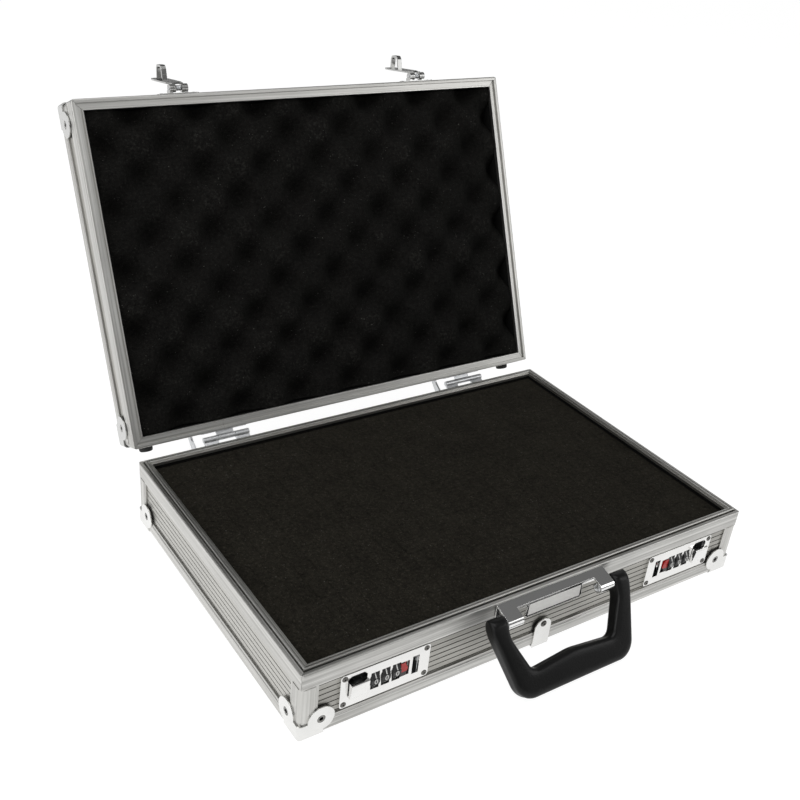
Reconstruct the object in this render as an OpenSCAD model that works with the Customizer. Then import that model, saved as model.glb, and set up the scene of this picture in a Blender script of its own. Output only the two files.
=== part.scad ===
// Hard case for a laptop, standing on its base with the lid open.
// Millimetres. X to the right, Y to the back, Z up.
// The origin is the middle of the base footprint, on the ground.

/* [Body] */
// Width of the case over its side bars
case_w = 425; // [400:5:500]
// Depth of the case over its front and back bars
case_d = 285; // [260:5:340]
// Height of the base up to the parting plane
base_h = 60.5; // [58:0.5:80]
// Height of the lid above the parting plane
lid_h = 38; // [36:0.5:60]
// Angle of the open lid from shut
open_angle = 113; // [100:1:118]

/* [Frame bars] */
// Height of the rim bars on each half
rim_h = 14; // [13:0.5:15]
// Width of the rim bars seen from above
rim_w = 9; // [9:0.1:9.6]
// Wall thickness of the bars
bar_t = 1.5; // [1.2:0.1:1.5]
// Height of the base lower edge bars
edge_h = 14.5; // [13:0.5:16]
// Height of the lid top edge bars
top_edge_h = 12; // [10:0.5:12.5]
// Width of the flat flange of the edge bars
edge_flange = 14; // [11:0.5:14]
// Width of each flange of the corner posts
post_w = 14; // [10:0.5:14]
// Height of the raised lip on the base rim
lip_h = 1.8; // [1.2:0.1:1.8]

/* [Corner caps] */
// Thickness of the pressed corner caps
cap_t = 1; // [0.8:0.1:1.2]
// Radius of the round ears
ear_r = 10.5; // [8:0.5:11]
// Distance of each ear centre from the corner
ear_in = 16.8; // [16:0.2:18]
// Height of each ear centre above the edge
ear_up = 14.5; // [13:0.5:16]
// Radius of the rivet head in an ear
ear_rivet_r = 3.1; // [2.6:0.1:3.6]

/* [Panels and foam] */
// Thickness of the wall panels
panel_t = 4; // [3:0.1:4]
// Thickness of the floor and top panels
floor_t = 3; // [2:0.5:4]
// Number of grooves in each base wall panel
grooves = 7; // [3:1:7]
// Thickness of the lining strips
lining_t = 1.2; // [0.8:0.1:1.3]
// Distance of the base foam below the rim
foam_drop = 5; // [4.5:0.5:12]
// Spacing of the foam hollows from side to side
foam_pitch_x = 56.5; // [45:0.5:70]
// Spacing of the foam hollows from front to back
foam_pitch_y = 51.4; // [42:0.2:64]
// Height of the foam waves from middle to peak
foam_wave = 8; // [4:0.5:9]

/* [Locks] */
// Distance of each lock centre from the middle
lock_x = 145; // [135:1:150]
// Height of the lock centres above the ground
lock_z = 31.4; // [31:0.1:31.6]
// Width of the lock plates
lock_w = 73.5; // [72:0.5:76]
// Height of the lock plates
lock_h = 29.6; // [29.2:0.1:29.8]
// Thickness of the lock plates
lock_t = 1.8; // [1.5:0.1:1.8]
// Distance between two number wheels
wheel_pitch = 8.8; // [8.6:0.1:8.9]
// Radius of a number wheel at its corners
wheel_r = 8.4; // [8:0.1:8.5]
// Radius of the wheel spindle
spindle_r = 1.5; // [1.2:0.1:1.8]
// Sliding travel of the thumb slider
slider_travel = 4; // [4:0.1:4.2]
// Sliding travel of the code lever
lever_travel = 1.2; // [0.8:0.1:1.3]

/* [Hasps] */
// Distance of each hasp below its pivot to the tab end
hasp_l = 50; // [48:0.5:52]
// Width of the hasp arm
hasp_w = 14; // [13:0.5:15]
// Radius of the hasp barrel
hasp_barrel_r = 3.4; // [3.2:0.1:3.6]
// Radius of the hasp pin
hasp_pin_r = 1.3; // [1:0.1:1.4]
// How far the staple loop stands out of the arm
staple_out = 12; // [11:0.2:12.4]
// Angle of the open hasp from shut
hasp_angle = 165; // [120:5:170]

/* [Handle] */
// Distance from the pivot to the outer grip edge
handle_l = 58.2; // [54:0.2:58.2]
// Half of the handle width at the pivot
handle_half = 65.5; // [64:0.5:70]
// Half of the handle width at the grip
grip_half = 54.5; // [50:0.5:58]
// Thickness of the handle
handle_t = 13; // [11:0.5:13]
// Width of the grip
grip_w = 20; // [16:0.5:22]
// Angle of the hanging handle below level
handle_droop = 57; // [50:1:57]
// Radius of the handle rod
rod_r = 3.4; // [3:0.1:3.6]
// Half of the bracket width
bracket_half = 52; // [50:0.5:54]

/* [Hinges] */
// Distance of each hinge centre from the middle
hinge_x = 129.6; // [110:0.2:140]
// Width of a hinge
hinge_w = 43; // [36:1:50]
// Distance of the hinge axis behind the case
hinge_back = 6; // [5.8:0.1:7]
// Height of the hinge axis above the parting plane
hinge_rise = 1; // [0.8:0.1:1.2]
// Radius of the hinge barrel
hinge_barrel_r = 2.6; // [2.4:0.1:3]
// Radius of the hinge pin
hinge_pin_r = 1.4; // [1.1:0.1:1.6]

/* [Feet] */
// Radius of the rear feet at the wall
foot_r = 6; // [5:0.2:6.4]
// How far the rear feet stand out
foot_l = 10.5; // [8:0.5:11]

/* [Hidden] */
$fn = 48;
half_w = case_w / 2;
half_d = case_d / 2;
lid_top = base_h + lid_h;
hinge_y = half_d + hinge_back;
hinge_z = base_h + hinge_rise;
part_gap = 0.3;
mitre_gap = 0.15;
corner_r = 2.8;
post_r = 4;
band_in = 0.35;
bead_h = 2.9;
bead_r = 1.1;
slot_gap = 0.1;
panel_in = bar_t + slot_gap;
slot_in = panel_in + panel_t + slot_gap;
web_t = 2.6;
lining_in = slot_in + bar_t;
foam_in = lining_in + lining_t + 0.3;
floor_z = cap_t + bar_t;
wall_top = base_h - web_t;
lid_wall_low = base_h + 2.2 + web_t;
lid_floor = lid_top - cap_t - bar_t;
rivet_clear = 0.1;
shank_r = 2;
cap_in_r = 2.2;
flange_reach = 19;
ear_hole_step = 0.55;
plate_y = -half_d - 0.2;
body_in = 17;
body_left = -30.9;
body_right = 29;
body_half = 13.5;
body_wall = 1.5;
wheel_w = 6.3;
hub_r = 3;
wheel_in = 6.2;
running = 0.05;
hasp_x = lock_x - 25;
hasp_y = -half_d - 5;
hasp_z = base_h + 5;
leaf_t = 1.2;
arm_gap = 0.1;
front_band = -half_d + band_in;
hasp_face = front_band - leaf_t - arm_gap;
pivot_y = -half_d - 12.5;
pivot_z = 50.6;
bracket_top = 59;
bracket_t = 1.2;
stop_x = hinge_w / 2 + 9;
base_foot_x = half_w - 13.5;
base_foot_z = 32;
seam_x = -130;
clip_w = 16;
clip_top = 26;
clip_rivet_z = 21.4;

// Points on a circular arc
function arc(cx, cy, r, a0, a1, n = 6) =
    [for (i = [0:n]) let (a = a0 + (a1 - a0) * i / n) [cx + r * cos(a), cy + r * sin(a)]];

// Outline of a rectangle with round corners, centred
function round_box(w, h, r) = concat(
    arc(w / 2 - r, h / 2 - r, r, 0, 90),
    arc(r - w / 2, h / 2 - r, r, 90, 180),
    arc(r - w / 2, r - h / 2, r, 180, 270),
    arc(w / 2 - r, r - h / 2, r, 270, 360));

// A point behind or before the hinge axis, moved from the open lid to the shut lid
function shut(p) = [
    p[0] * cos(open_angle) - p[1] * sin(open_angle),
    p[0] * sin(open_angle) + p[1] * cos(open_angle)];

// The same the other way, from the shut lid to the open lid
function opened(p) = [
    p[0] * cos(open_angle) + p[1] * sin(open_angle),
    p[1] * cos(open_angle) - p[0] * sin(open_angle)];

// Turns pieces drawn on the shut lid to the open lid
module on_lid() {
    translate([0, hinge_y, hinge_z])
        rotate([-open_angle, 0, 0])
            translate([0, -hinge_y, -hinge_z])
                children();
}

// One bar along X with mitred ends, its outer face at Y 0 and the profile drawn
// as distance inward and height
module bar(length, depth) {
    slip = mitre_gap * 0.71;
    intersection() {
        rotate([90, 0, 90])
            translate([0, 0, -length / 2])
                linear_extrude(length)
                    children();
        translate([0, 0, -1])
            linear_extrude(lid_top + 20)
                polygon([
                    [slip - 1 - length / 2, -1],
                    [length / 2 - slip + 1, -1],
                    [length / 2 - slip - depth, depth],
                    [slip + depth - length / 2, depth]]);
    }
}

// Four bars round the case with rounded upright corners
module four_bars(depth) {
    intersection() {
        union() {
            for (turn = [0, 180])
                rotate([0, 0, turn])
                    translate([0, -half_d, 0])
                        bar(case_w, depth)
                            children();
            for (turn = [-90, 90])
                rotate([0, 0, turn])
                    translate([0, -half_w, 0])
                        bar(case_d, depth)
                            children();
        }
        translate([0, 0, -1])
            linear_extrude(lid_top + 20)
                polygon(round_box(case_w, case_d, corner_r));
    }
}

// Repeats a piece drawn at the front left corner at all four
module at_corners(front = true, back = true) {
    for (sx = [-1, 1], sy = [-1, 1])
        if ((sy < 0 && front) || (sy > 0 && back))
            translate([sx * half_w, sy * half_d, 0])
                mirror([sx > 0 ? 1 : 0, 0, 0])
                    mirror([0, sy > 0 ? 1 : 0, 0])
                        children();
}

// Turns a piece drawn at the base lower corner to the lid top corner
module at_lid_top() {
    translate([0, 0, lid_top])
        mirror([0, 0, 1])
            children();
}

// A hollow rivet along Z with its head below zero
module rivet(head_r, head_h, body_r, body_l, bore_r) {
    rotate_extrude($fn = 32)
        polygon([
            [bore_r, -head_h],
            [head_r * 0.72, -head_h],
            [head_r * 0.93, -head_h * 0.6],
            [head_r, 0],
            [body_r, 0],
            [body_r, body_l],
            [bore_r, body_l]]);
}

// Turns a Z piece so that it points to the back
module to_back() {
    rotate([-90, 0, 0])
        children();
}

// Turns a Z piece so that it points to the front
module to_front() {
    rotate([90, 0, 0])
        children();
}

// Round holes through the front wall for the ear rivets, seen from one corner
module ear_holes() {
    for (swap = [0, 1])
        mirror([swap, -swap, 0])
            translate([ear_in, -5, cap_t + ear_up])
                to_back()
                    cylinder(r = shank_r + rivet_clear, h = 15);
}

// Upper corners of the base frame, four interlocking bars
module base_rim() {
    color("Silver")
        difference() {
            four_bars(rim_w + 1)
                translate([0, base_h])
                    polygon(concat(
                        [[band_in, -rim_h], [band_in, -bead_h - 0.35], [0, -bead_h]],
                        arc(bead_r, -bead_r, bead_r, 180, 90),
                        [[3, 0], [3, -1.2], [3.8, -1.2], [3.8, lip_h - 0.4],
                         [4.2, lip_h], [5.1, lip_h], [5.1, lip_h - 0.6],
                         [6.1, lip_h - 0.6], [6.1, lip_h], [7, lip_h],
                         [7.4, lip_h - 0.4], [7.4, 0], [rim_w, 0],
                         [rim_w, -web_t], [lining_in, -web_t], [lining_in, -10],
                         [slot_in, -10], [slot_in, -web_t], [bar_t, -web_t],
                         [bar_t, -rim_h]]));
            bracket_rivet_holes();
            hinge_rivet_places()
                rotate([90, 0, 0])
                    cylinder(r = 1.5, h = 14, center = true);
        }
}

// Lower edge of the base, four corner bars with a flat flange below
module base_bottom_edges() {
    color("Silver")
        difference() {
            four_bars(edge_flange + 1)
                polygon(concat(
                    arc(corner_r, cap_t + corner_r, corner_r, 270, 180),
                    [[0, edge_h - 3], [band_in, edge_h - 2.6], [band_in, edge_h],
                     [bar_t, edge_h], [bar_t, floor_z], [edge_flange, floor_z],
                     [edge_flange, cap_t]]));
            at_corners()
                ear_holes();
        }
}

// Upright corner bar, drawn at the front left corner
module post(z0, z1) {
    r = post_r;
    translate([0, 0, z0])
        linear_extrude(z1 - z0)
            polygon(concat(
                [[post_w, band_in], [post_w - 2.2, band_in], [post_w - 2.5, 0]],
                arc(r, r, r, 270, 180),
                [[0, post_w - 2.5], [band_in, post_w - 2.2], [band_in, post_w],
                 [bar_t, post_w], [bar_t, r], [r, bar_t], [post_w, bar_t]]));
}

// Four upright corner bars of the base
module base_corner_posts() {
    color("Silver")
        difference() {
            at_corners()
                post(edge_h, base_h - rim_h);
            base_foot_places()
                cylinder(r = shank_r + rivet_clear, h = 30, center = true);
        }
}

// Solid corner with round edges, for the outside and inside of a cap
module corner_block(start, r, s) {
    translate([start, start, start]) {
        translate([r, r, 0])
            cube([s, s, s]);
        translate([r, 0, r])
            cube([s, s, s]);
        translate([0, r, r])
            cube([s, s, s]);
        translate([r, r, r]) {
            sphere(r);
            cylinder(r = r, h = s);
            rotate([0, 90, 0])
                cylinder(r = r, h = s);
            rotate([-90, 0, 0])
                cylinder(r = r, h = s);
        }
    }
}

// Outline of one face of a cap, a flange with a round ear
module cap_face(ear_x, ear_y, high) {
    translate([-2, -2])
        square([flange_reach + 2, high + 2]);
    translate([ear_x, ear_y])
        circle(ear_r);
}

// Pressed corner cap, its inner corner at zero
module cap() {
    wrap = cap_in_r + 0.1;
    high = edge_h - cap_t;
    difference() {
        intersection() {
            difference() {
                corner_block(-cap_t, cap_in_r + cap_t, 40);
                corner_block(0, cap_in_r, 60);
            }
            union() {
                translate([0, wrap, 0])
                    to_front()
                        linear_extrude(wrap + 2)
                            cap_face(ear_in, ear_up, high);
                translate([-2, 0, 0])
                    rotate([90, 0, 90])
                        linear_extrude(wrap + 2)
                            cap_face(ear_in, ear_up, high);
                translate([0, 0, -2])
                    linear_extrude(wrap + 2)
                        cap_face(ear_in, ear_in, flange_reach);
            }
        }
        ear_places() {
            translate([0, 0, -1])
                cylinder(r = shank_r + rivet_clear, h = 4);
            translate([0, 0, -1])
                cylinder(r = ear_rivet_r + 0.15, h = 1 + ear_hole_step);
        }
    }
}

// The three ear centres of one cap, outer face at zero and Z inward
module ear_places(faces = [0, 1, 2]) {
    for (face = faces) {
        if (face == 0)
            translate([ear_in, -cap_t, ear_up])
                to_back()
                    children();
        if (face == 1)
            translate([-cap_t, ear_in, ear_up])
                rotate([0, 90, 0])
                    children();
        if (face == 2)
            translate([ear_in, ear_in, -cap_t])
                children();
    }
}

// Rivet with a flat head sunk in the ear
module ear_rivet(reach = cap_t + panel_in + panel_t + 0.2) {
    rotate_extrude($fn = 32)
        polygon([
            [1.6, 0.05], [ear_rivet_r - 0.3, 0.05], [ear_rivet_r, 0.3],
            [ear_rivet_r, ear_hole_step], [shank_r, ear_hole_step],
            [shank_r, reach],
            [1.6, reach]]);
}

// The rivets of one cap, the one through the thinner floor or top panel shorter
module cap_rivets(walls) {
    ear_places(walls)
        ear_rivet();
    ear_places([2])
        ear_rivet(floor_z + floor_t + 0.2);
}

// Room that the slanted inner corner of a post takes from a panel's end
module post_room() {
    reach = post_r + bar_t + 0.2;
    linear_extrude(2 * lid_top, center = true)
        polygon([[-1, -1], [reach + 1, -1], [-1, reach + 1]]);
}

// Four corner caps under the base
module base_corner_caps() {
    color("LightGray")
        at_corners()
            translate([0, 0, cap_t])
                cap();
}

// Twelve rivets in the ears of the base caps
module base_cap_rivets() {
    color("Gainsboro")
        at_corners()
            translate([0, 0, cap_t])
                cap_rivets([0, 1]);
}

// Grooved wall panel along X, its outer face at Y 0
module grooved_wall(length, z0, z1) {
    lower = edge_h + 1.5;
    step = (base_h - rim_h - 1.5 - lower) / (grooves - 1);
    difference() {
        translate([-length / 2, 0, z0])
            cube([length, panel_t, z1 - z0]);
        for (k = [0:grooves - 1])
            translate([-length, -1, lower + k * step - 0.4])
                cube([2 * length, 1.45, 0.8]);
    }
}

// Front wall panel with openings for the two lock boxes
module base_front_panel() {
    color("DimGray")
        difference() {
            translate([0, panel_in - half_d, 0])
                grooved_wall(case_w - 2 * panel_in, floor_z, wall_top);
            for (side = [-1, 1])
                at_lock(side)
                    translate([body_left - 0.4, -1, -body_half - 0.4])
                        cube([body_right - body_left + 0.8, 20, 2 * body_half + 0.8]);
            at_corners(back = false) {
                ear_holes();
                post_room();
            }
            translate([0, -half_d, clip_rivet_z])
                rotate([90, 0, 0])
                    cylinder(r = shank_r + rivet_clear, h = 30, center = true);
            bracket_rivet_holes();
            lock_rivet_holes();
        }
}

// Rear wall panel
module base_rear_panel() {
    color("DimGray")
        difference() {
            translate([0, half_d - panel_in, 0])
                rotate([0, 0, 180])
                    grooved_wall(case_w - 2 * panel_in, floor_z, wall_top);
            at_corners(front = false) {
                ear_holes();
                post_room();
            }
            base_foot_places()
                cylinder(r = shank_r + rivet_clear, h = 30, center = true);
            hinge_rivet_places()
                rotate([90, 0, 0])
                    cylinder(r = 1.5, h = 14, center = true);
        }
}

// Two side wall panels
module base_side_panels() {
    color("DimGray")
        difference() {
            for (turn = [-90, 90])
                rotate([0, 0, turn])
                    translate([0, panel_in - half_w, 0])
                        grooved_wall(case_d - 2 * (panel_in + panel_t), floor_z, wall_top);
            at_corners()
                ear_holes();
        }
}

// Floor panel on the lower flanges
module base_bottom_panel() {
    inset = panel_in + panel_t;
    color("DimGray")
        difference() {
            translate([inset - half_w, inset - half_d, floor_z])
                cube([case_w - 2 * inset, case_d - 2 * inset, floor_t]);
            at_corners()
                translate([ear_in, ear_in, 0])
                    cylinder(r = shank_r + rivet_clear, h = 20);
        }
}

// Four lining strips of one half, between two heights
module lining(z0, z1) {
    long_w = case_w - 2 * lining_in;
    long_d = case_d - 2 * (lining_in + lining_t + 0.2);
    for (sy = [-1, 1])
        translate([-long_w / 2, sy * (half_d - lining_in - lining_t / 2) - lining_t / 2, z0])
            cube([long_w, lining_t, z1 - z0]);
    for (sx = [-1, 1])
        translate([sx * (half_w - lining_in - lining_t / 2) - lining_t / 2, -long_d / 2, z0])
            cube([lining_t, long_d, z1 - z0]);
}

// Lining strips round the inside of the base
module base_lining() {
    color("Black")
        difference() {
            lining(floor_z + floor_t, wall_top);
            lock_box_room(0.4);
            bracket_rivet_holes();
        }
}

// Room round both lock boxes
module lock_box_room(clear) {
    for (side = [-1, 1])
        at_lock(side)
            translate([body_left - clear, -1, -body_half - clear])
                cube([body_right - body_left + 2 * clear, body_in + 1 + clear,
                      2 * body_half + 2 * clear]);
}

// Foam block in the base
module base_foam() {
    low = floor_z + floor_t + 0.3;
    color("DarkSlateGray")
        difference() {
            translate([foam_in - half_w, foam_in - half_d, low])
                cube([case_w - 2 * foam_in, case_d - 2 * foam_in, base_h - foam_drop - low]);
            lock_box_room(0.8);
        }
}

// Places a piece drawn at a lock centre: X toward the hasp slot, Y into the case
module at_lock(side) {
    translate([side * lock_x, plate_y, lock_z])
        mirror([side > 0 ? 1 : 0, 0, 0])
            children();
}

// Centres of the four plate rivets of one lock
module lock_rivet_places() {
    for (x = [-lock_w / 2 + 3.2, lock_w / 2 - 3.2], z = [-lock_h / 2 + 3.1, lock_h / 2 - 3.1])
        translate([x, 0, z])
            to_back()
                children();
}

// Holes in the front panel for the plate rivets
module lock_rivet_holes() {
    for (side = [-1, 1])
        at_lock(side)
            lock_rivet_places()
                cylinder(r = 1.5, h = 30, center = true);
}

// Pressed lock plate with its openings
module lock_plate() {
    difference() {
        translate([0, lock_t, 0])
            to_front()
                linear_extrude(lock_t)
                    polygon(round_box(lock_w, lock_h, 2.5));
        for (k = [-1:1])
            translate([k * wheel_pitch - 3.45, -1, -7.5])
                cube([6.9, 4, 15]);
        translate([25 - 2.8, -1, -8.1])
            cube([5.6, 4, 16.2]);
        translate([12.1, -1, -6.5])
            cube([7.6, 4, 13]);
        translate([0, 3, 0])
            to_front()
                linear_extrude(4)
                    polygon([[-30.8, -5], [-15.4, -5], [-15.4, 9.5], [-17.9, 12],
                             [-28.3, 12], [-30.8, 9.5]]);
        lock_rivet_places()
            cylinder(r = 1.5, h = 8, center = true);
    }
}

// Left lock plate
module lock_plate_left() {
    color("Gainsboro")
        at_lock(-1)
            lock_plate();
}

// Right lock plate
module lock_plate_right() {
    color("Gainsboro")
        at_lock(1)
            lock_plate();
}

// Rivets of both lock plates
module lock_rivets() {
    color("Gainsboro")
        for (side = [-1, 1])
            at_lock(side)
                lock_rivet_places()
                    rivet(2.3, 0.6, 1.5, lock_t + panel_t + 1.6, 0.7);
}

// Lock box behind the plate, open to the front, with two ribs for the spindle
module lock_body() {
    deep = body_in - lock_t;
    rib = wheel_pitch + wheel_pitch / 2 + 0.2;
    difference() {
        union() {
            difference() {
                translate([body_left, lock_t, -body_half])
                    cube([body_right - body_left, deep, 2 * body_half]);
                translate([body_left + body_wall, lock_t - 1, body_wall - body_half])
                    cube([body_right - body_left - 2 * body_wall, deep + 1 - body_wall,
                          2 * (body_half - body_wall)]);
            }
            for (x = [-rib - 1.2, rib])
                translate([x, lock_t + 1.5, -8.9])
                    cube([1.2, deep - 2, body_half + 8.5]);
        }
        translate([-20, wheel_in, 0])
            rotate([0, 90, 0])
                cylinder(r = spindle_r, h = 40);
    }
}

// Left lock box
module lock_body_left() {
    color("Silver")
        at_lock(-1)
            lock_body();
}

// Right lock box
module lock_body_right() {
    color("Silver")
        at_lock(1)
            lock_body();
}

// Spindles that carry the wheels
module lock_spindles() {
    reach = wheel_pitch * 1.5 + 1.2;
    color("Silver")
        for (side = [-1, 1])
            at_lock(side)
                translate([-reach, wheel_in, 0])
                    rotate([0, 90, 0])
                        cylinder(r = spindle_r, h = 2 * reach);
}

// Number wheel with ten flats, a hub and a bore
module number_wheel() {
    translate([0, wheel_in, 0])
        rotate([0, 90, 0])
            difference() {
                union() {
                    cylinder(r = wheel_r, h = wheel_w, center = true, $fn = 10);
                    cylinder(r = hub_r, h = wheel_pitch - 0.1, center = true);
                }
                cylinder(r = spindle_r + running, h = 20, center = true);
                for (k = [0:9])
                    rotate([0, 0, 36 * k])
                        translate([wheel_r + 0.1, 0, 0])
                            cylinder(r = 0.9, h = 20, center = true, $fn = 16);
            }
}

// Places one of the three wheels of a lock, counted from the slider
module wheel_at(side, k) {
    color("Black")
        at_lock(side)
            translate([(k - 2) * wheel_pitch, 0, 0])
                number_wheel();
}

module number_wheel_left_1() { wheel_at(-1, 1); }
module number_wheel_left_2() { wheel_at(-1, 2); }
module number_wheel_left_3() { wheel_at(-1, 3); }
module number_wheel_right_1() { wheel_at(1, 1); }
module number_wheel_right_2() { wheel_at(1, 2); }
module number_wheel_right_3() { wheel_at(1, 3); }

// Pointed code lever with a flange behind the plate
module code_lever() {
    translate([0, 2.1, 0])
        to_front()
            linear_extrude(2.5)
                polygon([[12.3, -6.2], [15.4, -6.2], [18.2, -1], [18.2, 1],
                         [15.4, 6.2], [12.3, 6.2]]);
    translate([12.3, lock_t + 0.15, -7.4])
        cube([6, 0.8, 14.8]);
}

// Left code lever
module code_lever_left() {
    color("Red")
        at_lock(-1)
            code_lever();
}

// Right code lever
module code_lever_right() {
    color("Red")
        at_lock(1)
            code_lever();
}

// Thumb slider: block before the plate, stem, bar under the wheels, arm and nose
module lock_slider() {
    translate([-30.2, 0, 0])
        rotate([90, 0, 90])
            linear_extrude(14.4)
                polygon([[-0.2, -6.5], [-2, -6.5], [-2.6, -6], [-4.5, 5.6],
                         [-4.2, 6.6], [-3.6, 7], [-0.2, 7]]);
    translate([-25, -1, -4.6])
        cube([8, 10, 10]);
    translate([-25, 3.2, -11.9])
        cube([8, 5.8, 8.7]);
    translate([-20, 8.6, -4.6])
        cube([3, 6, 9]);
    translate([-22, 3.2, -11.9])
        cube([42.2, 5.6, 2.3]);
    translate([18.6, 3.2, -11.9])
        cube([1.6, 5.6, 13.9]);
    translate([0, 0, -2])
        linear_extrude(4)
            polygon([[18.8, 3.4], [24.8, 3.4], [26.5, 5.2], [26.5, 6.2], [18.8, 6.2]]);
}

// Left thumb slider
module lock_slider_left() {
    color("Gainsboro")
        at_lock(-1)
            lock_slider();
}

// Right thumb slider
module lock_slider_right() {
    color("Gainsboro")
        at_lock(1)
            lock_slider();
}

// Coil spring as a sleeve of touching rings along Z, from zero to its length
module coil_sleeve(r, wire, turns, pitch) {
    rotate_extrude($fn = 24)
        polygon(concat(
            [for (i = [0:2 * turns]) [r + ((i % 2 == 0) ? -wire * 0.12 : wire / 2), i * pitch / 2]],
            [[r - wire / 2, turns * pitch], [r - wire / 2, 0]]));
}

// Return spring between the slider and the end wall of the lock box
module lock_spring() {
    from = body_left + body_wall;
    turns = 9;
    translate([from, 12, 0])
        rotate([0, 90, 0])
            coil_sleeve(1.7, 0.7, turns, (-20 - from) / turns);
}

// Left return spring
module lock_spring_left() {
    color("Silver")
        at_lock(-1)
            lock_spring();
}

// Right return spring
module lock_spring_right() {
    color("Silver")
        at_lock(1)
            lock_spring();
}

// Centre of a hasp pivot, X along the pin
module at_hasp(side) {
    translate([side * hasp_x, hasp_y, hasp_z])
        children();
}

// Barrel piece along X between two places, with a bore
module knuckle(x0, x1, r, bore) {
    translate([x0, 0, 0])
        rotate([0, 90, 0])
            difference() {
                cylinder(r = r, h = x1 - x0);
                translate([0, 0, -1])
                    cylinder(r = bore, h = x1 - x0 + 2);
            }
}

// Centres of the two rivets of one hasp plate
module hasp_rivet_places() {
    for (sx = [-1, 1])
        translate([sx * 14.2, front_band - leaf_t - hasp_y, 3.5])
            to_back()
                children();
}

// Hasp plate with two end knuckles
module hasp_plate() {
    face = front_band - hasp_y;
    outer = 8;
    inner = 5.2;
    low = base_h + bead_h + 0.4 - hasp_z;
    high = 9;
    difference() {
        union() {
            translate([0, face, (low + high) / 2])
                to_front()
                    linear_extrude(leaf_t)
                        polygon(round_box(37, high - low, 3));
            for (x = [-outer, inner]) {
                knuckle(x, x + outer - inner, hasp_barrel_r, hasp_pin_r);
                difference() {
                    translate([x, 1, low])
                        cube([outer - inner, face - 1.1, 5 - low]);
                    translate([x - 1, 0, 0])
                        rotate([0, 90, 0])
                            cylinder(r = hasp_barrel_r - 0.5, h = 10);
                }
            }
        }
        hasp_rivet_places()
            cylinder(r = 1.5, h = 8, center = true);
    }
}

// Both hasp plates on the front rim bar of the lid
module hasp_plates() {
    color("Gainsboro")
        on_lid()
            for (side = [-1, 1])
                at_hasp(side)
                    hasp_plate();
}

// Rivets of both hasp plates
module hasp_rivets() {
    color("Gainsboro")
        on_lid()
            for (side = [-1, 1])
                at_hasp(side)
                    hasp_rivet_places()
                        rivet(2.2, 0.7, 1.5, 4.4, 0.7);
}

// Pins of both hasps
module hasp_pins() {
    color("Silver")
        on_lid()
            for (side = [-1, 1])
                at_hasp(side)
                    translate([-8.3, 0, 0])
                        rotate([0, 90, 0])
                            cylinder(r = hasp_pin_r, h = 16.6);
}

// Hinged hasp arm hanging shut: two knuckles, arm, tab and staple loop
module hasp_arm() {
    back = hasp_face - hasp_y;
    arm_t = 1.4;
    loop_z = lock_z - hasp_z;
    tip = hasp_barrel_r - hasp_l;
    for (x = [-5, 2.6])
        knuckle(x, x + 2.4, hasp_barrel_r, hasp_pin_r + running);
    difference() {
        translate([0, back, 0])
            to_front()
                linear_extrude(arm_t)
                    polygon(concat(
                        [[-5, -1.5], [-5, -5], [-hasp_w / 2, -8], [-hasp_w / 2, tip + 12]],
                        arc(-3, tip + 3, 3, 180, 270),
                        arc(3, tip + 3, 3, 270, 360),
                        [[hasp_w / 2, tip + 12], [hasp_w / 2, -8], [5, -5], [5, -1.5]]));
        translate([-8, 0, 0])
            rotate([0, 90, 0])
                cylinder(r = hasp_barrel_r - 0.6, h = 16);
        translate([-2.6, -9, -3.9])
            cube([5.2, 18, 5]);
    }
    for (x = [-5, 2.6])
        difference() {
            translate([x, back - arm_t, -5])
                cube([2.4, arm_t, 5]);
            translate([x - 1, 0, 0])
                rotate([0, 90, 0])
                    cylinder(r = hasp_barrel_r - 0.6, h = 6);
        }
    translate([-2.2, back - 0.2, loop_z])
        rotate([90, 0, 90])
            linear_extrude(4.4)
                polygon([[0, -7], [staple_out * 0.75, -5.9], [staple_out - 1, -4.6],
                         [staple_out, -3.4], [staple_out, 3.4], [staple_out - 1, 4.6],
                         [staple_out * 0.75, 5.9], [0, 7], [0, 5.2],
                         [staple_out * 0.75 - 0.4, 4.2], [staple_out - 1.8, 3],
                         [staple_out - 1.8, -3], [staple_out * 0.75 - 0.4, -4.2],
                         [0, -5.2]]);
}

// Turns a shut hasp to its open place
module open_hasp(side) {
    color("Gainsboro")
        on_lid()
            at_hasp(side)
                rotate([-hasp_angle, 0, 0])
                    hasp_arm();
}

module hasp_left() { open_hasp(-1); }
module hasp_right() { open_hasp(1); }

// Torsion spring sleeve round the hasp pin
module hasp_spring(side) {
    color("Silver")
        on_lid()
            at_hasp(side)
                translate([-2.2, 0, 0])
                    rotate([0, 90, 0])
                        coil_sleeve(1.9, 0.7, 6, 4.4 / 6);
}

module hasp_spring_left() { hasp_spring(-1); }
module hasp_spring_right() { hasp_spring(1); }

// Centres of the four bracket rivets, Z into the wall
module bracket_rivet_places() {
    for (x = [-46, -14, 14, 46])
        translate([x, -half_d - 0.05 - bracket_t, base_h - 9.3])
            to_back()
                children();
}

// Holes for the bracket rivets
module bracket_rivet_holes() {
    bracket_rivet_places()
        cylinder(r = 1.6, h = 12);
}

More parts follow.
